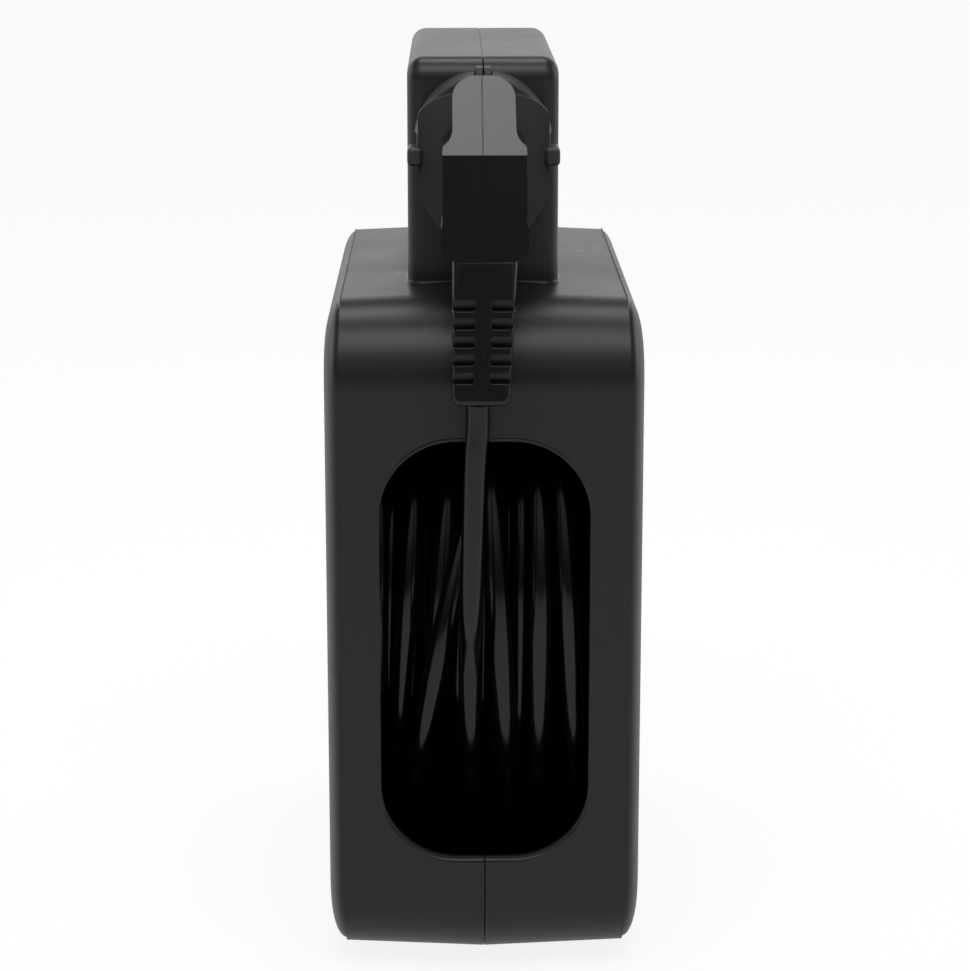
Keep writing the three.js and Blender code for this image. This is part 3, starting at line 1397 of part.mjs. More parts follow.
// ---------------------------------------------------------------- free stretch of cord
// The route between the plug's relief and the wound cord's end, chosen by hand. It leaves
// the relief straight down, passes the outlet's upper edge and runs in to the drum.
function freeCord() {
  const relief = reliefCentre(1).add(new THREE.Vector3(0, HANDLE_FRONT, PLUG_AXIS));
  const line = windingLine();
  const drumEnd = line[line.length - 1].add(new THREE.Vector3(0, 0, DRUM_CENTRE));
  const meet = drumEnd.clone().addScaledVector(exitDirection(), GAP);
  const route = new THREE.CatmullRomCurve3(
    [
      relief.clone().add(new THREE.Vector3(-CORD_ASIDE, 0, -GAP)),
      relief.clone().add(new THREE.Vector3(-CORD_ASIDE, 0, -CORD)),
      new THREE.Vector3(-2.8, -104.2, 165),
      new THREE.Vector3(-3.3, -103.2, 150),
      new THREE.Vector3(-3.7, -100.6, 134),
      new THREE.Vector3(-4.1, -96.6, 118),
      meet.clone().addScaledVector(exitDirection(), CORD),
      meet,
    ],
    false,
    "centripetal",
  );
  const round = [];
  for (let i = 0; i < FREE_CORD_SIDES; i += 1) {
    const angle = (i / FREE_CORD_SIDES) * 2 * Math.PI;
    round.push(
      new THREE.Vector2((CORD / 2) * Math.cos(angle), (CORD / 2) * Math.sin(angle)),
    );
  }
  return solid(
    new THREE.ExtrudeGeometry(new THREE.Shape(round), {
      steps: FREE_CORD_STEPS,
      extrudePath: route,
    }),
  );
}

const reel = new THREE.Group();
reel.add(housing());
reel.add(drum());
reel.add(plug());
reel.add(mesh("free_cord", freeCord(), cordRubber));

export default reel;
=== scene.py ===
import math

import bmesh
import bpy
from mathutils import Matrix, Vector


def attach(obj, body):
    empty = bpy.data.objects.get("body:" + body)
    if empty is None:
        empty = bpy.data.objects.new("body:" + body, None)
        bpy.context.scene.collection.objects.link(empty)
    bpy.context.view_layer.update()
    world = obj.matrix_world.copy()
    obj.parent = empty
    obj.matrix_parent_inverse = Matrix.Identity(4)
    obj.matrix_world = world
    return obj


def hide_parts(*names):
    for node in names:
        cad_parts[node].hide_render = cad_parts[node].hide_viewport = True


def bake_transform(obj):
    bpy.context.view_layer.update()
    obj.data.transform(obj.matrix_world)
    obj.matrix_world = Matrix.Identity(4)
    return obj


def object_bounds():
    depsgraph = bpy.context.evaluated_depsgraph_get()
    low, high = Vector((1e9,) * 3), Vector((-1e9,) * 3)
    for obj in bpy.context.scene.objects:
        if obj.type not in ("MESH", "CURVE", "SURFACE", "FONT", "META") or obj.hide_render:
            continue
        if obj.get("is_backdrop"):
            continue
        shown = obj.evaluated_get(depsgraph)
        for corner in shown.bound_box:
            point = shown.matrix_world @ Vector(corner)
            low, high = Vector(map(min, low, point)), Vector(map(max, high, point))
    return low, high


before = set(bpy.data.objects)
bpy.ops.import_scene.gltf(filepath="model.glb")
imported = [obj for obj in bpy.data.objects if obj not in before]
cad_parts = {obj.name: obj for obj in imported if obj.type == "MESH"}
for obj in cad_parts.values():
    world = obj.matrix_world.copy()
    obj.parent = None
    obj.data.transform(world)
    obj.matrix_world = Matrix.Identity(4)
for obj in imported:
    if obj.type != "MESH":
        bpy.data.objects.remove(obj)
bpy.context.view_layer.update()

MM = 0.001

# ---------------------------------------------------------------- camera, floor and light
# The photograph is taken from in front of the narrow end and a little above it, with a
# long lens. White surroundings give the black plastic its bright top and side edges.
camera_data = bpy.data.cameras.new("camera")
camera_data.sensor_fit = "HORIZONTAL"
camera_data.sensor_width = 36
camera_data.lens = 104.3
CAMERA_DOWN = 13.43
CAMERA_ASIDE = -0.71
camera = bpy.data.objects.new("camera", camera_data)
camera.location = (-9.98 * MM, -904.7 * MM, 348.2 * MM)
camera.rotation_euler = (math.radians(90 - CAMERA_DOWN), 0, math.radians(CAMERA_ASIDE))
bpy.context.scene.collection.objects.link(camera)
bpy.context.scene.camera = camera
bpy.context.scene.view_settings.view_transform = "Standard"


class Value:
    """A socket in a node tree, so that shader maths is written as maths."""

    def __init__(self, tree, socket):
        self.tree = tree
        self.socket = socket

    def make(self, kind, inputs, output=0, **settings):
        """Adds a node of a kind, with its settings and the values or links of its sockets."""
        node = self.tree.nodes.new(kind)
        for name, setting in settings.items():
            setattr(node, name, setting)
        for name, value in inputs.items():
            if isinstance(value, Value):
                self.tree.links.new(value.socket, node.inputs[name])
            else:
                node.inputs[name].default_value = value
        return Value(self.tree, node.outputs[output])

    def into(self, socket):
        self.tree.links.new(self.socket, socket)

    def maths(self, operation, *others):
        inputs = dict(enumerate((self, *others)))
        return self.make("ShaderNodeMath", inputs, operation=operation)

    def __add__(self, other):
        return self.maths("ADD", other)

    def __sub__(self, other):
        return self.maths("SUBTRACT", other)

    def __mul__(self, other):
        return self.maths("MULTIPLY", other)

    def __truediv__(self, other):
        return self.maths("DIVIDE", other)

    def __rsub__(self, other):
        return self.make("ShaderNodeMath", {0: other, 1: self}, operation="SUBTRACT")

    __radd__ = __add__
    __rmul__ = __mul__

    def between(self, low, high):
        """0 under low, 1 over high, smooth between them."""
        inputs = {"Value": self, "From Min": low, "From Max": high}
        return self.make("ShaderNodeMapRange", inputs, interpolation_type="SMOOTHSTEP")

    def mixed(self, first, second):
        """The first colour at 0 and the second at 1."""
        return self.make("ShaderNodeMixRGB", {"Fac": self, "Color1": first, "Color2": second})


bpy.ops.object.select_all(action="DESELECT")
bpy.ops.mesh.primitive_plane_add(size=40)
floor = bpy.context.object
floor.name = "floor"
floor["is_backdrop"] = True
floor_material = bpy.data.materials.new("pale_floor")
floor_material.use_nodes = True
floor_tree = floor_material.node_tree
floor_shader = floor_tree.nodes["Principled BSDF"]
floor_shader.inputs["Base Color"].default_value = (0.2, 0.2, 0.2, 1)
floor_shader.inputs["Roughness"].default_value = 0.9
floor_shader.inputs["Emission Color"].default_value = (1, 1, 1, 1)
seen = Value(floor_tree, floor_tree.nodes.new("ShaderNodeLightPath").outputs["Is Camera Ray"])
mirrored = seen.make("ShaderNodeLightPath", {}, "Is Glossy Ray")
through = seen.make("ShaderNodeLightPath", {}, "Is Transmission Ray")
(seen * 0.86 + (mirrored + through) * 0.5).into(floor_shader.inputs["Emission Strength"])
floor.data.materials.append(floor_material)

# The white studio is bright low down behind the reel, and has a softer glow high up in
# front. The camera sees it plain white.
world = bpy.data.worlds.new("studio")
world.use_nodes = True
bpy.context.scene.world = world
studio_tree = world.node_tree
sky = studio_tree.nodes["Background"]
sky.inputs["Color"].default_value = (1, 1, 1, 1)
direction = Value(
    studio_tree, studio_tree.nodes.new("ShaderNodeTexCoord").outputs["Generated"]
)
height = direction.make("ShaderNodeSeparateXYZ", {"Vector": direction}, "Z")
depth = direction.make("ShaderNodeSeparateXYZ", {"Vector": direction}, "Y")
aside = direction.make("ShaderNodeSeparateXYZ", {"Vector": direction}, "X").maths("ABSOLUTE")
behind = depth.between(0.0, 0.5) * (1 - aside.between(0.25, 0.7) * 0.5)
low_down = 1 - height.between(0.3, 0.6)
in_front = (0 - depth).between(0.0, 0.35)
glow = 0.06 + behind * low_down * 0.9 + in_front * height.between(0.1, 0.75) * 0.4
seen = direction.make("ShaderNodeLightPath", {}, "Is Camera Ray")
mirrored = direction.make("ShaderNodeLightPath", {}, "Is Glossy Ray")
through = direction.make("ShaderNodeLightPath", {}, "Is Transmission Ray")
shown = seen + (mirrored + through) * behind * low_down
(shown + (1 - shown) * glow).into(sky.inputs["Strength"])


def softbox(name, place, target, width, length, power):
    """A soft lamp of a width and length, at a place and turned to a target."""
    light = bpy.data.lights.new(name, "AREA")
    light.shape = "RECTANGLE"
    light.size = width
    light.size_y = length
    light.energy = power
    lamp = bpy.data.objects.new(name, light)
    lamp.location = place
    lamp.rotation_euler = (Vector(target) - Vector(place)).to_track_quat("-Z", "Y").to_euler()
    bpy.context.scene.collection.objects.link(lamp)


softbox("overhead", (0, 0.35, 1.3), (0, -0.05, 0.25), 0.7, 0.45, 3.3)
softbox("front_top", (0, -0.6, 1.3), (0, 0, 0.1), 1.2, 0.6, 5)
softbox("left_panel", (-5.2, 2.0, 1.5), (0, 0, 0.15), 3.2, 4.8, 35)
softbox("right_panel", (5.2, 2.0, 1.5), (0, 0, 0.15), 3.2, 4.8, 42)

# ---------------------------------------------------------------- free stretch of cord
# A round sheathed flexible cord, about 7 mm thick. Its free stretch hangs from the plug's
# strain relief and goes in through the outlet to the wound part.
CORD = 7 * MM


def moulded(name, colour, spread, roughness, grain, bump, wear=0.0, seam=None):
    """A moulded plastic or rubber: its colour is uneven at arm's length, its surface has
    fine spark grain, and handling has polished it in broad soft patches. A seam is the fine
    line that the mould has left along the middle."""
    material = bpy.data.materials.new(name)
    material.use_nodes = True
    tree = material.node_tree
    shader = tree.nodes["Principled BSDF"]
    place = Value(tree, tree.nodes.new("ShaderNodeTexCoord").outputs["Object"])
    fine = place.make(
        "ShaderNodeTexNoise",
        {"Vector": place, "Scale": 1 / grain, "Detail": 2.5, "Roughness": 0.6},
    )
    broad = place.make("ShaderNodeTexNoise", {"Vector": place, "Scale": 28, "Detail": 4})
    scuffs = place.make(
        "ShaderNodeTexNoise",
        {"Vector": place, "Scale": 140, "Detail": 5, "Roughness": 0.7, "Distortion": 1.2},
    ).between(0.56, 0.72)
    dark = (*(c * (1 - spread) for c in colour), 1)
    light = (*(c * (1 + spread) for c in colour), 1)
    tint = broad * 0.6 + fine * 0.4
    tint.between(0.35, 0.65).mixed(dark, light).into(shader.inputs["Base Color"])
    rough = roughness + (broad - 0.5) * 0.12 + (fine - 0.5) * 0.1 - scuffs * wear
    rough.into(shader.inputs["Roughness"])
    relief = place.make(
        "ShaderNodeBump",
        {"Height": fine + scuffs * (wear * 0.5), "Distance": bump, "Strength": 0.6},
    )
    if seam is not None:
        aside = place.make("ShaderNodeSeparateXYZ", {"Vector": place}, "X") - seam
        line = aside.maths("ABSOLUTE").between(0.06 * MM, 0.2 * MM)
        relief = place.make(
            "ShaderNodeBump", {"Height": line, "Distance": 0.12 * MM, "Normal": relief}
        )
    relief.into(shader.inputs["Normal"])
    return material


cord_rubber = moulded("cord_rubber", (0.005, 0.005, 0.0055), 0.2, 0.2, 0.5 * MM, 0.012 * MM)

# From the outlet up to the strain relief, in mm.
ROUTE = [
    (-4.4, -83.05, 90.0),
    (-4.4, -84.86, 96.76),
    (-4.1, -96.6, 118),
    (-3.7, -100.6, 134),
    (-3.3, -103.2, 150),
    (-2.8, -104.2, 165),
    (-2.1, -103.9, 174.4),
    (-2.1, -103.9, 181.1),
]


def clear():
    bpy.ops.object.select_all(action="DESELECT")


def pick(*pieces):
    """Selects pieces and nothing else, and makes the first one active."""
    clear()
    for piece in pieces:
        piece.select_set(True)
    bpy.context.view_layer.objects.active = pieces[0]


def tube(name, points, radius):
    """A round tube on one smooth line, as a closed mesh."""
    curve = bpy.data.curves.new(name, "CURVE")
    curve.dimensions = "3D"
    curve.bevel_depth = radius
    curve.bevel_resolution = 4
    curve.resolution_u = 10
    curve.use_fill_caps = True
    spline = curve.splines.new("BEZIER")
    spline.bezier_points.add(len(points) - 1)
    for knot, point in zip(spline.bezier_points, points):
        knot.co = point
        knot.handle_left_type = knot.handle_right_type = "AUTO"
    made = bpy.data.objects.new(name, curve)
    bpy.context.scene.collection.objects.link(made)
    pick(made)
    bpy.ops.object.convert(target="MESH")
    bpy.ops.object.mode_set(mode="EDIT")
    bpy.ops.mesh.select_all(action="SELECT")
    bpy.ops.mesh.remove_doubles(threshold=0.001 * MM)
    bpy.ops.object.mode_set(mode="OBJECT")
    bpy.ops.object.shade_smooth_by_angle(angle=math.radians(60))
    return bpy.context.object


route = [Vector(point) * MM for point in ROUTE]
free_cord = tube("cord_free_stretch", route, CORD / 2)
free_cord.data.materials.append(cord_rubber)
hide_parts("free_cord")

# ---------------------------------------------------------------- wound cord
# The cord lies loosely on the drum: a tight inner layer, a spaced layer over it, and the
# last turns on top, which wander a little where they were let slack.
CENTRE = 105 * MM
EXIT_ANGLE = math.radians(195)
TOP_RADIUS = 84.1 * MM
LAYER = 7.9 * MM
RIGHT_TURN = 35.6 * MM
LOWER_TURNS = 8
LOWER_PITCH = 9 * MM
TOP_TURNS = 4
TOP_PITCH = 10 * MM
CLIMB = 0.3
STEPS = 36
CROSSING_START = math.radians(20)
CROSSING_RISE = 1.05

# How far each turn has slipped aside in front, 30 degrees above the drum's middle and 30
# degrees below it, in mm. The swing is the share that the wave reaches at these places.
SWING = 0.47
SLACK = [
    (0.0, 0.0),
    (1.7, -1.9),
    (3.2, -1.5),
    (1.5, -14.0),
    (0.6, 2.0),
    (-0.6, -0.4),
    (-1.5, -1.0),
    (-3.0, 0.6),
    (0.0, 0.0),
    (-0.3, 2.6),
    (2.6, 1.2),
    (-2.0, 1.2),
    (0.0, 0.0),
]


def wound_line():
    """The line of the outer turns, from the first one on the right to the outlet."""
    last = LOWER_TURNS + TOP_TURNS
    front = (EXIT_ANGLE - math.pi) / (2 * math.pi)
    line = []
    for i in range(last * STEPS + 1):
        turns = i / STEPS
        past = turns - LOWER_TURNS
        share = min(max((past + CLIMB) / CLIMB, 0), 1)
        radius = TOP_RADIUS - LAYER + LAYER * share * share * (3 - 2 * share)
        angle = EXIT_ANGLE + (last - turns) * 2 * math.pi
        x = RIGHT_TURN - LOWER_PITCH * max(-CLIMB - past, 0) - TOP_PITCH * max(past, 0)
        passing = round(turns - front)
        phase = (turns - front - passing) * 2 * math.pi
        above, below = SLACK[passing]
        swell = (1 + math.cos(phase)) / 2
        x += (above + below) / 2 * swell * MM
        x += (above - below) / 2 * math.sin(phase) * swell / SWING * MM
        if below < -LAYER / MM:
            rise = max(0, math.sin(CROSSING_START - phase * 0.8)) * swell
            radius += LAYER * CROSSING_RISE * min(1, 1.6 * rise)
        line.append(Vector((x, radius * math.cos(angle), CENTRE + radius * math.sin(angle))))
    end = line[-1] + CORD * Vector((0, math.sin(EXIT_ANGLE), -math.cos(EXIT_ANGLE)))
    return [*line, end]


def finished(piece, material, body, *nodes):
    """Gives a new piece its material and its body, in place of CAD nodes."""
    piece.data.materials.clear()
    piece.data.materials.append(material)
    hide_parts(*nodes)
    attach(piece, body)


wound = tube("cord_wound", wound_line(), CORD / 2)
finished(wound, cord_rubber, "drum", "winding")

INNER_TURNS = 10
INNER_RADIUS = 68.9 * MM
INNER_LEFT = -36.8 * MM
INNER_PITCH = 7.3 * MM
inner_line = []
for i in range(INNER_TURNS * STEPS + 1):
    turns = i / STEPS
    angle = EXIT_ANGLE - turns * 2 * math.pi
    y, z = INNER_RADIUS * math.cos(angle), INNER_RADIUS * math.sin(angle)
    inner_line.append(Vector((INNER_LEFT + INNER_PITCH * turns, y, CENTRE + z)))
inner = tube("cord_inner_layer", inner_line, CORD / 2)
finished(inner, cord_rubber, "drum", "winding_core")

# ---------------------------------------------------------------- housing halves
# Two injection-moulded half shells in black, finely grained plastic, screwed together
# along the middle. The front band is drafted, then a crisp step leads to rounded cheeks.
SEAM = 0.005 * MM
BAND = 43 * MM
HALF_LENGTH = 96 * MM
HALF_HEIGHT = 104 * MM
CORNER = 26 * MM
WALL = 2.6 * MM
BAND_DRAFT = 1.8 * MM
BAND_STEP = 0.8 * MM
CHEEK_INSET = 15 * MM
CHEEK_BULGE = 5 * MM
SEAM_BEVEL = 0.28 * MM


def choose(test, kind="faces"):
    """In edit mode, selects what passes a test."""
    mesh = bmesh.from_edit_mesh(bpy.context.object.data)
    bpy.context.tool_settings.mesh_select_mode = [kind == k for k in ("verts", "edges", "faces")]
    for group in (mesh.verts, mesh.edges, mesh.faces):
        for item in group:
            item.select = False
    for item in getattr(mesh, kind):
        if test(item):
            item.select_set(True)
    mesh.select_flush_mode()
    bmesh.update_edit_mesh(bpy.context.object.data)


def outline(name, corners, radii, segments=16):
    """Starts a piece from a flat outline whose corners are then rounded."""
    mesh = bpy.data.meshes.new(name)
    mesh.from_pydata(corners, [], [range(len(corners))])
    made = bpy.data.objects.new(name, mesh)
    bpy.context.scene.collection.objects.link(made)
    pick(made)
    bpy.ops.object.mode_set(mode="EDIT")
    for corner, radius in zip(corners, radii):
        if radius:
            near = Vector(corner)
            choose(lambda v: (v.co - near).length < 0.01 * MM, "verts")
            bpy.ops.mesh.bevel(offset=radius, segments=segments, affect="VERTICES")
    return made


def box_outline(name, x, low, high, radii, facing=1):
    """A rounded box outline in Y and Z at one X, facing along +X or -X. The radii start
    at the upper back corner and go round over the front."""
    corners = [
        (x, high[0], high[1]),
        (x, low[0], high[1]),
        (x, low[0], low[1]),
        (x, high[0], low[1]),
    ]
    radii = list(radii)
    if facing < 0:
        corners.reverse()
        radii.reverse()
    return outline(name, corners, radii)


def grow(steps):
    """Insets the cap of the open form again and again: (how far in, how far on)."""
    choose(lambda f: len(f.verts) > 8)
    for thickness, onward in steps:
        bpy.ops.mesh.inset(thickness=thickness, depth=onward, use_even_offset=True)


def close_up():
    """Closes the open end and leaves edit mode."""
    choose(lambda e: e.is_boundary, "edges")
    bpy.ops.mesh.edge_face_add()
    bpy.ops.mesh.select_all(action="SELECT")
    bpy.ops.mesh.normals_make_consistent(inside=False)
    bpy.ops.object.mode_set(mode="OBJECT")


def rounding(inset, onward, count):
    """Steps of a quarter ellipse that starts along the wall and ends across it."""
    angles = [math.pi / 2 * k / count for k in range(count + 1)]
    return [
        (inset * (math.cos(a) - math.cos(b)), onward * (math.sin(b) - math.sin(a)))
        for a, b in zip(angles, angles[1:])
    ]


def apply_all(piece):
    pick(piece)
    for modifier in list(piece.modifiers):
        bpy.ops.object.modifier_apply(modifier=modifier.name)


def cut(piece, *cutters, operation="DIFFERENCE"):
    """Takes cutters off a piece, or does what the operation says, and removes them."""
    for cutter in cutters:
        change = piece.modifiers.new("cut", "BOOLEAN")
        change.operation = operation
        change.solver = "EXACT"
        change.object = cutter
        apply_all(piece)
        bpy.data.objects.remove(cutter)


def round_bar(name, radius, start, end, sides=96, end_radius=None):
    """A round bar between two points, with a chosen radius at its end."""
    clear()
    start, end = Vector(start), Vector(end)
    bpy.ops.mesh.primitive_cone_add(
        vertices=sides,
        radius1=radius,
        radius2=radius if end_radius is None else end_radius,
        depth=(end - start).length,
        location=(start + end) / 2,
        rotation=(end - start).to_track_quat("Z", "Y").to_euler(),
    )
    bpy.context.object.name = name
    bpy.ops.object.transform_apply(location=True, rotation=True, scale=True)
    return bpy.context.object


def smoothed(piece, angle):
    """Shades smooth under an angle in degrees, evenly over large and small faces."""
    pick(piece)
    bpy.ops.object.shade_smooth_by_angle(angle=math.radians(angle))
    piece.modifiers.new("even_shading", "WEIGHTED_NORMAL").keep_sharp = True
    apply_all(piece)


def block(name, place, size):
    """A plain block with its middle at a place."""
    clear()
    bpy.ops.mesh.primitive_cube_add(size=1, location=place, scale=size)
    bpy.context.object.name = name
    bpy.ops.object.transform_apply(location=True, rotation=True, scale=True)
    return bpy.context.object


def copied(piece, name):
    made = piece.copy()
    made.data = piece.data.copy()
    made.name = name
    bpy.context.scene.collection.objects.link(made)
    return made


def joined(first, *others):
    pick(first, *others)
    bpy.ops.object.join()


housing_plastic = moulded(
    "housing_plastic", (0.019, 0.019, 0.02), 0.12, 0.36, 0.42 * MM, 0.04 * MM, wear=0.06
)

right_half = box_outline(
    "half_shell",
    SEAM,
    (-HALF_LENGTH, CENTRE - HALF_HEIGHT),
    (HALF_LENGTH, CENTRE + HALF_HEIGHT),
    [CORNER] * 4,
)
grow([(0, 0.4 * MM), (BAND_DRAFT, BAND - SEAM - 0.4 * MM), (BAND_STEP, 0)])
grow(rounding(CHEEK_INSET, CHEEK_BULGE, 10))
bpy.ops.object.mode_set(mode="OBJECT")
inside = copied(right_half, "inside")
pick(inside)
bpy.ops.object.mode_set(mode="EDIT")
close_up()
INSIDE_SHARE = 0.985
bpy.ops.transform.resize(value=[INSIDE_SHARE] * 3, center_override=(0, 0, CENTRE))
bpy.ops.object.transform_apply(location=True, rotation=True, scale=True)
walls = right_half.modifiers.new("walls", "SOLIDIFY")
walls.thickness = WALL
walls.offset = -1
walls.use_even_offset = True
apply_all(right_half)

# The cord outlet is a tall opening in the front band, with a rounded lip.
LIP = 1.4 * MM
OUTLET_SIDE = 31.5 * MM + LIP
OUTLET_LOW = 38 * MM - LIP
OUTLET_HIGH = 168 * MM + LIP
OUTLET_CORNER = 23 * MM + LIP
BEFORE_BAND = -HALF_LENGTH - 1 * MM
outlet = outline(
    "outlet_cutter",
    [
        (-OUTLET_SIDE, BEFORE_BAND, OUTLET_LOW),
        (-OUTLET_SIDE, BEFORE_BAND, OUTLET_HIGH),
        (OUTLET_SIDE, BEFORE_BAND, OUTLET_HIGH),
        (OUTLET_SIDE, BEFORE_BAND, OUTLET_LOW),
    ],
    [OUTLET_CORNER] * 4,
)
grow([(0, 1.2 * MM)])
grow([(b, a) for a, b in reversed(rounding(LIP, LIP, 5))])
grow([(0, 6 * MM)])
close_up()
cut(right_half, outlet)

# The carrying handle grows out of the top in the same two halves. Its edges are well
# rounded, and the front pillar takes the parked plug.
HANDLE_FRONT = -53 * MM
HANDLE_BACK = 83 * MM
HANDLE_ROOT = 190 * MM
HANDLE_TOP = 277 * MM
HANDLE_SIDE = 23 * MM
EDGE = 5 * MM
HOLE_FRONT = -26 * MM - EDGE
HOLE_BACK = 58 * MM + EDGE
HOLE_LOW = 184 * MM
HOLE_TOP = 255 * MM + EDGE
HOLE_CORNER = 17 * MM
handle = box_outline(
    "handle",
    SEAM,
    (HANDLE_FRONT, HANDLE_ROOT),
    (HANDLE_BACK, HANDLE_TOP),
    [14 * MM, 7 * MM, 5.5 * MM, 5.5 * MM],
)
grow([(0, HANDLE_SIDE - EDGE - SEAM)])
grow(rounding(EDGE, EDGE, 7))
close_up()
hole = box_outline(
    "hand_hole",
    HANDLE_SIDE + 1 * MM,
    (HOLE_FRONT, HOLE_LOW),
    (HOLE_BACK, HOLE_TOP),
    [HOLE_CORNER] * 4,
    facing=-1,
)
grow([(0, 1 * MM)])
grow([(b, a) for a, b in rounding(EDGE, EDGE, 7)])
grow([(0, HANDLE_SIDE)])
close_up()
PLUG_HEIGHT = 252.6 * MM
BEFORE_PILLAR = -60 * MM
RECESS_RADIUS = 19.8 * MM
RECESS_FLOOR = -49 * MM
PIN_ASIDE = 9.5 * MM
PIN_HOLE_RADIUS = 2.8 * MM
PIN_HOLE_END = -30 * MM
recess = round_bar(
    "nose_recess", RECESS_RADIUS, (0, BEFORE_PILLAR, PLUG_HEIGHT), (0, RECESS_FLOOR, PLUG_HEIGHT)
)
pin_hole = round_bar(
    "pin_hole",
    PIN_HOLE_RADIUS,
    (PIN_ASIDE, BEFORE_PILLAR, PLUG_HEIGHT),
    (PIN_ASIDE, PIN_HOLE_END, PLUG_HEIGHT),
    24,
)
cut(handle, hole, recess, pin_hole, inside)

# A small tab juts out over the parked plug. Its front slopes back towards the top.
TAB_MIDDLE = (1.3 * MM, -57 * MM, 273.7 * MM)
TAB_SIZE = (2.2 * MM, 11 * MM, 2.2 * MM)
TAB_SLOPE = 1.1 * MM
tab = block("tab", TAB_MIDDLE, TAB_SIZE)
bpy.ops.object.mode_set(mode="EDIT")
choose(
    lambda e: all(v.co.y < TAB_MIDDLE[1] and v.co.z > TAB_MIDDLE[2] for v in e.verts), "edges"
)
bpy.ops.transform.translate(value=(0, TAB_SLOPE, 0))
bpy.ops.object.mode_set(mode="OBJECT")
tab_edges = tab.modifiers.new("edges", "BEVEL")
tab_edges.width = 0.2 * MM
tab_edges.segments = 2
apply_all(tab)

FOOT_ASIDE = 31 * MM
FOOT_ALONG = 58 * MM
FOOT_SIZE = (12 * MM, 22 * MM, 3.6 * MM)


def foot(y):
    """A low foot with rounded corners, at a place along the length."""
    made = block("foot", (FOOT_ASIDE, y, FOOT_SIZE[2] / 2), FOOT_SIZE)
    bpy.ops.object.mode_set(mode="EDIT")
    choose(lambda e: abs(e.verts[0].co.z - e.verts[1].co.z) > 1 * MM, "edges")
    bpy.ops.mesh.bevel(offset=3 * MM, segments=5)
    choose(lambda f: f.normal.z < -0.9)
    bpy.ops.mesh.bevel(offset=0.3 * MM, segments=2)
    bpy.ops.object.mode_set(mode="OBJECT")
    return made


cut(right_half, handle, tab, foot(-FOOT_ALONG), foot(FOOT_ALONG), operation="UNION")
ROOT_LOW = 205 * MM
ROOT_HIGH = 209.5 * MM
HOLLOW_ANGLE = -1.2


def in_pillar_root(e):
    """The hollow edge where a pillar meets the top of the housing."""
    heights = [v.co.z for v in e.verts]
    if min(heights) <= ROOT_LOW or max(heights) >= ROOT_HIGH or not e.is_manifold:
        return False
    return e.calc_face_angle_signed() < HOLLOW_ANGLE


bpy.ops.object.mode_set(mode="EDIT")
choose(in_pillar_root, "edges")
bpy.ops.mesh.bevel(offset=1.3 * MM, segments=4)
choose(lambda e: max(v.co.x for v in e.verts) < 2 * SEAM, "edges")
bpy.ops.mesh.bevel(offset=SEAM_BEVEL, segments=1)
bpy.ops.object.mode_set(mode="OBJECT")
left_half = copied(right_half, "shell_left")
right_half.name = "shell_right"
pick(left_half)
bpy.ops.transform.resize(value=(-1, 1, 1), center_override=(0, 0, 0))
bpy.ops.object.transform_apply(location=True, rotation=True, scale=True)
bpy.ops.object.mode_set(mode="EDIT")
bpy.ops.mesh.select_all(action="SELECT")
bpy.ops.mesh.normals_make_consistent(inside=False)
bpy.ops.object.mode_set(mode="OBJECT")

WINDOW = 74 * MM
window = round_bar("window", WINDOW, (30 * MM, 0, CENTRE), (60 * MM, 0, CENTRE), 160)
cut(right_half, window)

# Six screws go in from the left. The four in the housing itself run in long bosses, which
# are drilled in the left half and solid in the right one.
screws = [(-74, 23), (74, 23), (-74, 187), (74, 187), (-39.5, 227.2), (70.5, 236.6)]
WELL_RADIUS = 4.3 * MM
WELL_FLOOR = -16 * MM
WELL_MOUTH = -60 * MM
BOSS_RADIUS = 6.6 * MM
BOSS_START = 0.2 * MM
BOSS_END = 46 * MM


def screw_well(spot):
    return round_bar("screw_well", WELL_RADIUS, (WELL_FLOOR, *spot), (WELL_MOUTH, *spot), 40)


def screw_boss(side, spot):
    ends = (side * BOSS_START, *spot), (side * BOSS_END, *spot)
    return round_bar("screw_boss", BOSS_RADIUS, *ends, 40)


left_bosses, right_bosses = [], []
for y, z in screws:
    spot = y * MM, z * MM
    cut(left_half, screw_well(spot))
    if z * MM < HANDLE_ROOT:
        boss = screw_boss(-1, spot)
        cut(boss, screw_well(spot))
        left_bosses.append(boss)
        right_bosses.append(screw_boss(1, spot))

# The cuts leave hair gaps between faces, which are closed before the bosses go in.
GAP = 0.005 * MM
for shell, bosses, node in (
    (right_half, right_bosses, "housing_right"),
    (left_half, left_bosses, "housing_left"),
):
    pick(shell)
    bpy.ops.object.mode_set(mode="EDIT")
    bpy.ops.mesh.select_all(action="SELECT")
    bpy.ops.mesh.remove_doubles(threshold=GAP)
    choose(lambda e: e.is_boundary, "edges")
    bpy.ops.mesh.fill_holes(sides=0)
    bpy.ops.object.mode_set(mode="OBJECT")
    joined(shell, *bosses)
    smoothed(shell, 32)
    finished(shell, housing_plastic, "housing", node)

# ---------------------------------------------------------------- drum
# The drum is moulded in smooth black plastic. Its right flange has a collar that fills the
# window of the housing, and a round panel is screwed into the collar, with openings for
# four sockets and a red reset button in the middle.
drum_plastic = moulded("drum_plastic", (0.012, 0.012, 0.013), 0.15, 0.4, 0.6 * MM, 0.03 * MM)
panel_plastic = moulded("panel_plastic", (0.015, 0.015, 0.016), 0.12, 0.38, 0.5 * MM, 0.03 * MM)


def dress(material, *names):
    """Gives CAD pieces a finish and slightly rounded edges."""
    for name in names:
        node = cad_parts[name]
        node.data.materials.clear()
        node.data.materials.append(material)
        edges = node.modifiers.new("edges", "BEVEL")
        edges.width = 0.25 * MM
        edges.segments = 2
        edges.limit_method = "ANGLE"
        edges.angle_limit = math.radians(40)


dress(drum_plastic, "drum_core", "contact_base", "thermal_cutout", "cord_clamp")


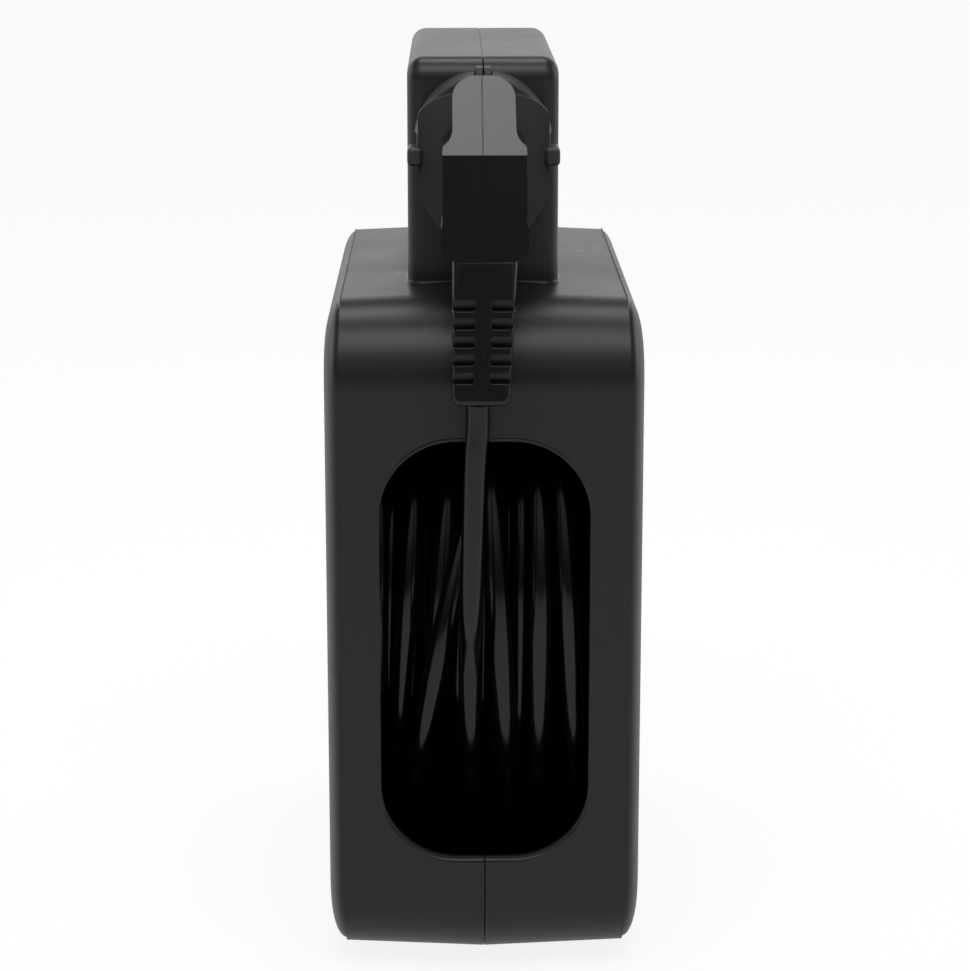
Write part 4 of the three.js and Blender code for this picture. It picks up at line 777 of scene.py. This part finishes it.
def soft_edges(piece, width, angle=38):
    """Small moulded radii on the sharp edges, then even shading."""
    edges = piece.modifiers.new("edges", "BEVEL")
    edges.width = width * MM
    edges.segments = 3
    edges.limit_method = "ANGLE"
    edges.angle_limit = math.radians(angle)
    apply_all(piece)
    smoothed(piece, angle)


def along_axis(name, radius, low, high, y=0, z=0, sides=96, end_radius=None):
    """A round bar along the drum's axis, in mm."""
    return round_bar(
        name,
        radius * MM,
        (low * MM, y * MM, CENTRE + z * MM),
        (high * MM, y * MM, CENTRE + z * MM),
        sides,
        None if end_radius is None else end_radius * MM,
    )


def on_circle(radius, degrees):
    """How far aside and how high a point on a circle lies."""
    return radius * math.cos(math.radians(degrees)), radius * math.sin(math.radians(degrees))


# Radii, and places along the axis, in mm.
FINE = 192
FACE = 46.2
BEYOND = 50
FLANGE_RADIUS = 87.8
FLANGE_LEFT = 39.6
FLANGE_RIGHT = 42.1
COLLAR_RADIUS = 73.1
SEAT_RADIUS = 70.5
MOUTH_RADIUS = 65.2
flange = along_axis("right_flange", FLANGE_RADIUS, FLANGE_LEFT, FLANGE_RIGHT, sides=FINE)
collar = along_axis("window_collar", COLLAR_RADIUS, 41, FACE, sides=FINE)
cut(flange, collar, operation="UNION")
cut(flange, along_axis("panel_seat", SEAT_RADIUS, FLANGE_RIGHT, BEYOND, sides=FINE))
cut(flange, along_axis("drum_mouth", MOUTH_RADIUS, 30, BEYOND, sides=FINE))
soft_edges(flange, 0.4)
finished(flange, drum_plastic, "drum", "drum_flange")

PANEL_RADIUS = 70.2
PANEL_LEFT = 43.2
BEHIND = 40
SOCKET_CIRCLE = 39.5
SOCKET_TURN = 45
SOCKET_OPENING = 21.75
SCREW_CIRCLE = 64.5
SCREW_TURN = 22.5
SCREW_SEAT = 3.4
SCREW_SEAT_FLOOR = 44.2
BUTTON_HOLE = 5.6
BUTTON_RIM = 8.2
BUTTON_RIM_FACE = 7.6
RIM_FACE = 47.1
panel = along_axis("socket_panel_face", PANEL_RADIUS, PANEL_LEFT, FACE, sides=FINE)
rim = along_axis(
    "button_collar", BUTTON_RIM, 42.8, RIM_FACE, sides=64, end_radius=BUTTON_RIM_FACE
)
cut(panel, rim, operation="UNION")
cut(panel, along_axis("button_hole", BUTTON_HOLE, BEHIND, BEYOND, sides=64))
for i in range(4):
    y, z = on_circle(SOCKET_CIRCLE, SOCKET_TURN + 90 * i)
    cut(panel, along_axis("socket_opening", SOCKET_OPENING, BEHIND, BEYOND, y, z, 128))
    y, z = on_circle(SCREW_CIRCLE, SCREW_TURN + 90 * i)
    cut(panel, along_axis("screw_seat", SCREW_SEAT, SCREW_SEAT_FLOOR, BEYOND, y, z, 40))
KNOB_CIRCLE = 47
DISH_WELL = 9.6
DISH_WELL_FLOOR = 32.8
DISH_WELL_OUTSIDE = 11.3
well = along_axis("knob_well", DISH_WELL_OUTSIDE, 29.8, 45.7, 0, KNOB_CIRCLE, 72)
cut(panel, well, operation="UNION")
cut(panel, along_axis("knob_hollow", DISH_WELL, DISH_WELL_FLOOR, BEYOND, 0, KNOB_CIRCLE, 72))
soft_edges(panel, 0.35)
finished(panel, panel_plastic, "drum", "socket_panel")

# A socket is a round cup with a rolled rim. It has two pin holes, and a guide rib at each
# end of the line through them. It is made once, and turned and copied to four places.
CUP_RADIUS = 21.5
CUP_HOLLOW = 19.8
CUP_LEFT = 25.7
CUP_FLOOR = 28.7
CUP_PIN_HOLE = 3
GUIDE_RIB = (17.6 * MM, 2.2 * MM, 4.4 * MM)
RIB_MIDDLE = 36.4 * MM
RIB_ASIDE = 19.1 * MM
cup = along_axis("socket_cup", CUP_RADIUS, CUP_LEFT, RIM_FACE, sides=128)
cut(cup, along_axis("cup_hollow", CUP_HOLLOW, CUP_FLOOR, BEYOND, sides=128))
for side in (-1, 1):
    cut(cup, along_axis("pin_hole", CUP_PIN_HOLE, 20, 40, side * PIN_ASIDE / MM, 0, 40))
soft_edges(cup, 0.5)
for side in (-1, 1):
    rib = block("guide_rib", (RIB_MIDDLE, side * RIB_ASIDE, CENTRE), GUIDE_RIB)
    soft_edges(rib, 0.4)
    joined(cup, rib)
for i in range(4):
    socket = copied(cup, f"socket_cup_{i + 1}")
    turn = math.radians(SOCKET_TURN + 90 * i)
    y, z = on_circle(SOCKET_CIRCLE, SOCKET_TURN + 90 * i)
    socket.rotation_euler = (turn, 0, 0)
    socket.location = (
        0,
        y * MM + CENTRE * math.sin(turn),
        z * MM + CENTRE - CENTRE * math.cos(turn),
    )
    pick(socket)
    bpy.ops.object.transform_apply(location=True, rotation=True, scale=True)
    finished(socket, panel_plastic, "drum", f"socket_{i + 1}")
bpy.data.objects.remove(cup)

# The winding knob is a hollow finger dish with six ribs inside. It lies flush in its well
# and turns on a headed pin.
KNOB_RADIUS = 9.2
DISH_FLOOR = 35
RIB_CIRCLE = 7.2
RIB_RADIUS = 0.9
dish = along_axis("knob_dish", KNOB_RADIUS, 33.2, FACE, 0, KNOB_CIRCLE, 96)
cut(dish, along_axis("dish_hollow", 6.4, DISH_FLOOR, BEYOND, 0, KNOB_CIRCLE, 72, end_radius=8.2))
soft_edges(dish, 0.6)
for i in range(6):
    y, z = on_circle(RIB_CIRCLE, 60 * i)
    rib = along_axis("dish_rib", RIB_RADIUS, 34.2, 45.2, y, KNOB_CIRCLE + z, 24)
    soft_edges(rib, 0.25)
    joined(dish, rib)
finished(dish, drum_plastic, "knob", "winding_knob")


def metal(name, colour, roughness, scale):
    """Bare or plated metal with fine drawn lines and faint stains."""
    material = bpy.data.materials.new(name)
    material.use_nodes = True
    tree = material.node_tree
    shader = tree.nodes["Principled BSDF"]
    shader.inputs["Metallic"].default_value = 1
    place = Value(tree, tree.nodes.new("ShaderNodeTexCoord").outputs["Object"])
    lines = place.make("ShaderNodeTexNoise", {"Vector": place, "Scale": scale, "Detail": 4})
    stain = place.make("ShaderNodeTexNoise", {"Vector": place, "Scale": 160, "Detail": 3})
    dull = (*(c * 0.75 for c in colour), 1)
    stain.between(0.4, 0.7).mixed((*colour, 1), dull).into(shader.inputs["Base Color"])
    rough = roughness + (lines - 0.5) * 0.15 + (stain - 0.5) * 0.1
    rough.into(shader.inputs["Roughness"])
    fine = {"Height": lines, "Distance": 0.02 * MM, "Strength": 0.4}
    place.make("ShaderNodeBump", fine).into(shader.inputs["Normal"])
    return material


steel = metal("screw_steel", (0.55, 0.55, 0.56), 0.32, 2400)
nickel = metal("contact_nickel", (0.72, 0.71, 0.69), 0.22, 1800)
brass = metal("rail_brass", (0.78, 0.6, 0.3), 0.28, 1800)
dress(steel, *(f"housing_screw_{i}" for i in range(1, 7)))
dress(steel, *(f"panel_screw_{i}" for i in range(1, 5)))
dress(steel, "clamp_screw_1", "clamp_screw_2", "knob_pin")
dress(nickel, *(f"earth_clip_{i}" for i in range(1, 5)))
dress(nickel, "plug_pin_1", "plug_pin_2", "earth_strip_1", "earth_strip_2")
dress(brass, "live_rail", "neutral_rail")
button_plastic = moulded("button_plastic", (0.42, 0.02, 0.012), 0.1, 0.25, 0.8 * MM, 0.01 * MM)
dress(button_plastic, "reset_button")

# ---------------------------------------------------------------- plug
# A one-piece moulded angled plug in satin rubber. Behind its round nose is a thin grip
# plate with a shallow hollow on each side, and a sloping ridge covers the wires.
plug_rubber = moulded(
    "plug_rubber", (0.01, 0.01, 0.0115), 0.12, 0.25, 0.5 * MM, 0.02 * MM, wear=0.02, seam=-0.5 * MM
)
PARKED = HANDLE_FRONT
PLATE_BACK = PARKED - 11.6 * MM
PLATE_FRONT = PLATE_BACK - 5 * MM
CORD_TILT = math.tan(math.radians(10.5))
NOSE_RADIUS = 20.9 * MM
NOSE_FRONT_RADIUS = 20 * MM
NECK_RADIUS = 19.4 * MM

nose = round_bar(
    "plug",
    NOSE_RADIUS,
    (0, PARKED - 0.3 * MM, PLUG_HEIGHT),
    (0, PLATE_BACK, PLUG_HEIGHT),
    128,
    NOSE_FRONT_RADIUS,
)
bpy.ops.object.mode_set(mode="EDIT")
choose(lambda e: all(v.co.y < PLATE_BACK + 0.1 * MM for v in e.verts), "edges")
bpy.ops.mesh.bevel(offset=1 * MM, segments=6)
bpy.ops.object.mode_set(mode="OBJECT")
neck = round_bar(
    "plug_neck",
    NECK_RADIUS,
    (0, PARKED + 3.6 * MM, PLUG_HEIGHT),
    (0, PARKED - 1 * MM, PLUG_HEIGHT),
    128,
)
cut(nose, neck, operation="UNION")


def bar(name, low, high):
    """A plain bar between two opposite corners, in mm from the plug's middle."""
    x, y, z = ((a + b) / 2 * MM for a, b in zip(low, high))
    size = [(b - a) * MM for a, b in zip(low, high)]
    return block(name, (x, PARKED + y, PLUG_HEIGHT + z), size)


# Grooves above and below hold the earth strips, and those at the sides take guide ribs.
GROOVE_FRONT, GROOVE_BACK = -10.6, 6
GROOVE_FLOOR, OUTSIDE = 17.3, 24
cut(
    nose,
    bar("upper_notch", (-2.8, GROOVE_FRONT, GROOVE_FLOOR), (2.8, GROOVE_BACK, OUTSIDE)),
    bar("lower_notch", (-2.8, GROOVE_FRONT, -OUTSIDE), (2.8, GROOVE_BACK, -GROOVE_FLOOR)),
    bar("left_groove", (-OUTSIDE, GROOVE_FRONT, -2.6), (-GROOVE_FLOOR, GROOVE_BACK, 2.6)),
    bar("right_groove", (GROOVE_FLOOR, GROOVE_FRONT, -2.6), (OUTSIDE, GROOVE_BACK, 2.6)),
)


def facing_front(name, y, points, radii, segments=10):
    """An outline that faces the front, from points (x, z) that go round to the left."""
    corners = [(x * MM, y, PLUG_HEIGHT + z * MM) for x, z in points]
    return outline(name, corners, [r * MM for r in radii], segments)


def both_sides(points, radii):
    """Adds the left half of an outline to its right half."""
    left = [(-x, z) for x, z in reversed(points)]
    return points + left, radii + radii[::-1]


plate = facing_front(
    "grip_plate",
    PLATE_BACK + 0.4 * MM,
    *both_sides(
        [(13, -25.4), (19.6, -16), (19.6, 9.2), (16.5, 12.6), (13, 14), (9, 15.2)],
        [1.5, 2, 1.5, 3, 4, 0],
    ),
)
grow([(0, 4.7 * MM)])
grow(rounding(0.7 * MM, 0.7 * MM, 4))
close_up()
HOLLOW_DEPTH = 2.76 * MM
HOLLOW_SIZE = (28.5 * MM, 38 * MM, 66 * MM)
clear()
bpy.ops.mesh.primitive_uv_sphere_add(
    segments=96,
    ring_count=48,
    radius=1,
    location=(15.3 * MM, PLATE_FRONT + HOLLOW_DEPTH - HOLLOW_SIZE[1], PLUG_HEIGHT - 1 * MM),
    scale=HOLLOW_SIZE,
)
bpy.ops.object.transform_apply(location=True, rotation=True, scale=True)
cut(plate, bpy.context.object)
bpy.ops.object.mode_set(mode="EDIT")
bpy.ops.mesh.select_all(action="SELECT")
bpy.ops.mesh.bisect(plane_co=(0, 0, 0), plane_no=(1, 0, 0), clear_inner=True)
bpy.ops.object.mode_set(mode="OBJECT")
plate.modifiers.new("mirror", "MIRROR").merge_threshold = 0.001 * MM
apply_all(plate)

# The ridge is as wide as its front outline and as deep as its side outline. Its top is a
# narrower crown.
crown = [
    (2.2 + 7.1 * math.cos(math.radians(a)), 14.6 + 5.6 * math.sin(math.radians(a)))
    for a in range(0, 91, 9)
]
ridge_points, ridge_radii = both_sides(
    [(9.4, -29.8), (12.7, -27.4), (12.7, -20.5), (12.2, -19), (12.2, 2.2), (9.3, 4.7), *crown],
    [0.8, 1.2, 1, 1, 0.6, 1.8, *[0] * len(crown)],
)
ridge = facing_front("ridge", PLATE_BACK + 1 * MM, ridge_points, ridge_radii)
grow([(0, 50 * MM)])
close_up()
RIDGE_TOP = 20.2
RIDGE_FRONT = -43.4
RIDGE_LOW = -30.1
FRONT_HIGH = 0.2
LOW_LEAN = (FRONT_HIGH - RIDGE_LOW) * MM * CORD_TILT
side_points = [
    (PLATE_BACK + 1 * MM, RIDGE_TOP),
    (PLATE_BACK - 0.4 * MM, RIDGE_TOP),
    (PARKED + RIDGE_FRONT * MM, FRONT_HIGH),
    (PARKED + RIDGE_FRONT * MM - LOW_LEAN, RIDGE_LOW),
    (PARKED - 32 * MM - LOW_LEAN, RIDGE_LOW),
    (PARKED - 30 * MM, -20),
    (PARKED - 22 * MM, -15.5),
    (PLATE_BACK + 1 * MM, -15.5),
]
corners = [(-14 * MM, y, PLUG_HEIGHT + z * MM) for y, z in side_points]
side_view = outline("side_view", corners, [0, 0, 0, 0, 1 * MM, 6 * MM, 5 * MM, 0])
grow([(0, 28 * MM)])
close_up()
cut(ridge, side_view, operation="INTERSECT")

# The strain relief leans forward and to one side with the cord. Five slots on each side
# of its spine let it bend.
RELIEF_TOP = -29.0
RELIEF_END = -71.2
RELIEF_SIDE = 9.4
RELIEF_DEPTH = 11.4
LEAN = 1.2


def relief_front(z):
    """How far in front the relief's leaning face is at a height, in mm."""
    return RIDGE_FRONT + (z - FRONT_HIGH) * CORD_TILT


start = relief_front(RELIEF_TOP)
relief = bar(
    "strain_relief",
    (-RELIEF_SIDE, start, RELIEF_END),
    (RELIEF_SIDE, start + RELIEF_DEPTH, RELIEF_TOP),
)
bpy.ops.object.mode_set(mode="EDIT")
choose(lambda f: f.normal.z < -0.9)
bpy.ops.transform.resize(
    value=(0.91, 0.88, 1),
    center_override=(0, PARKED + (start + RELIEF_DEPTH / 2) * MM, PLUG_HEIGHT),
)
bpy.ops.transform.translate(value=(-LEAN * MM, (RELIEF_END - RELIEF_TOP) * CORD_TILT * MM, 0))
choose(
    lambda e: all(v.co.z < PLUG_HEIGHT + (RELIEF_END + 1) * MM for v in e.verts)
    and abs(e.verts[0].co.y - e.verts[1].co.y) > 5 * MM,
    "edges",
)
bpy.ops.mesh.bevel(offset=2.6 * MM, segments=6)
choose(lambda e: any(abs(f.normal.y) > 0.9 for f in e.link_faces), "edges")
bpy.ops.mesh.bevel(offset=1.9 * MM, segments=6)
bpy.ops.object.mode_set(mode="OBJECT")
SLOTS = 5
LOWEST_SLOT = -63.1
SLOT_PITCH = 5.16
HALF_SLOT = 1.5
HALF_SPINE = 2.3
for i in range(SLOTS):
    height = LOWEST_SLOT + SLOT_PITCH * i
    low, high = height - HALF_SLOT, height + HALF_SLOT
    front = relief_front(height)
    lean = -LEAN * (RELIEF_TOP - height) / (RELIEF_TOP - RELIEF_END)
    for side in (-1, 1):
        inner_x = lean + side * HALF_SPINE
        near, far = sorted((inner_x, lean + side * 14))
        for start_y, end_y in ((front - 4, front + 4.8), (front + 6.8, front + 15)):
            slot = bar("slot", (near, start_y, low), (far, end_y, high))
            bpy.ops.object.mode_set(mode="EDIT")
            choose(
                lambda e: all(abs(v.co.x - inner_x * MM) < 0.01 * MM for v in e.verts)
                and abs(e.verts[0].co.y - e.verts[1].co.y) > 5 * MM,
                "edges",
            )
            bpy.ops.mesh.bevel(offset=0.8 * MM, segments=4)
            bpy.ops.object.mode_set(mode="OBJECT")
            cut(relief, slot)


def ear(side):
    """A small lug on one side of the nose and the plate."""
    near, far = sorted((side * 18.2, side * 22.8))
    made = bar("ear", (near, -16.6, -6.2), (far, -3.6, -0.8))
    soft_edges(made, 1.2)
    return made


# The nose, the plate and the ears have a duller grain than the ridge. Their lighter colour is
# painted reflection: it stands in for the light these front faces catch and reflect.
grip_rubber_painted_reflection = moulded("grip_rubber_painted_reflection", (0.055, 0.055, 0.058), 0.08, 0.45, 0.4 * MM, 0.03 * MM)
for form in (nose, plate, ridge, relief):
    soft_edges(form, 0.25)
ears = ear(-1), ear(1)
# The nose, the plate and the ears take the lighter rubber, whose lighter colour is painted
# reflection; the ridge and the relief take the plain plug rubber.
for form in (nose, plate, ridge, relief, *ears):
    form.data.materials.clear()
    form.data.materials.append(plug_rubber if form in (ridge, relief) else grip_rubber_painted_reflection)
joined(nose, plate, ridge, relief, *ears)
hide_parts("plug_body")
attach(nose, "plug")
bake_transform(free_cord)

low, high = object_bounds()
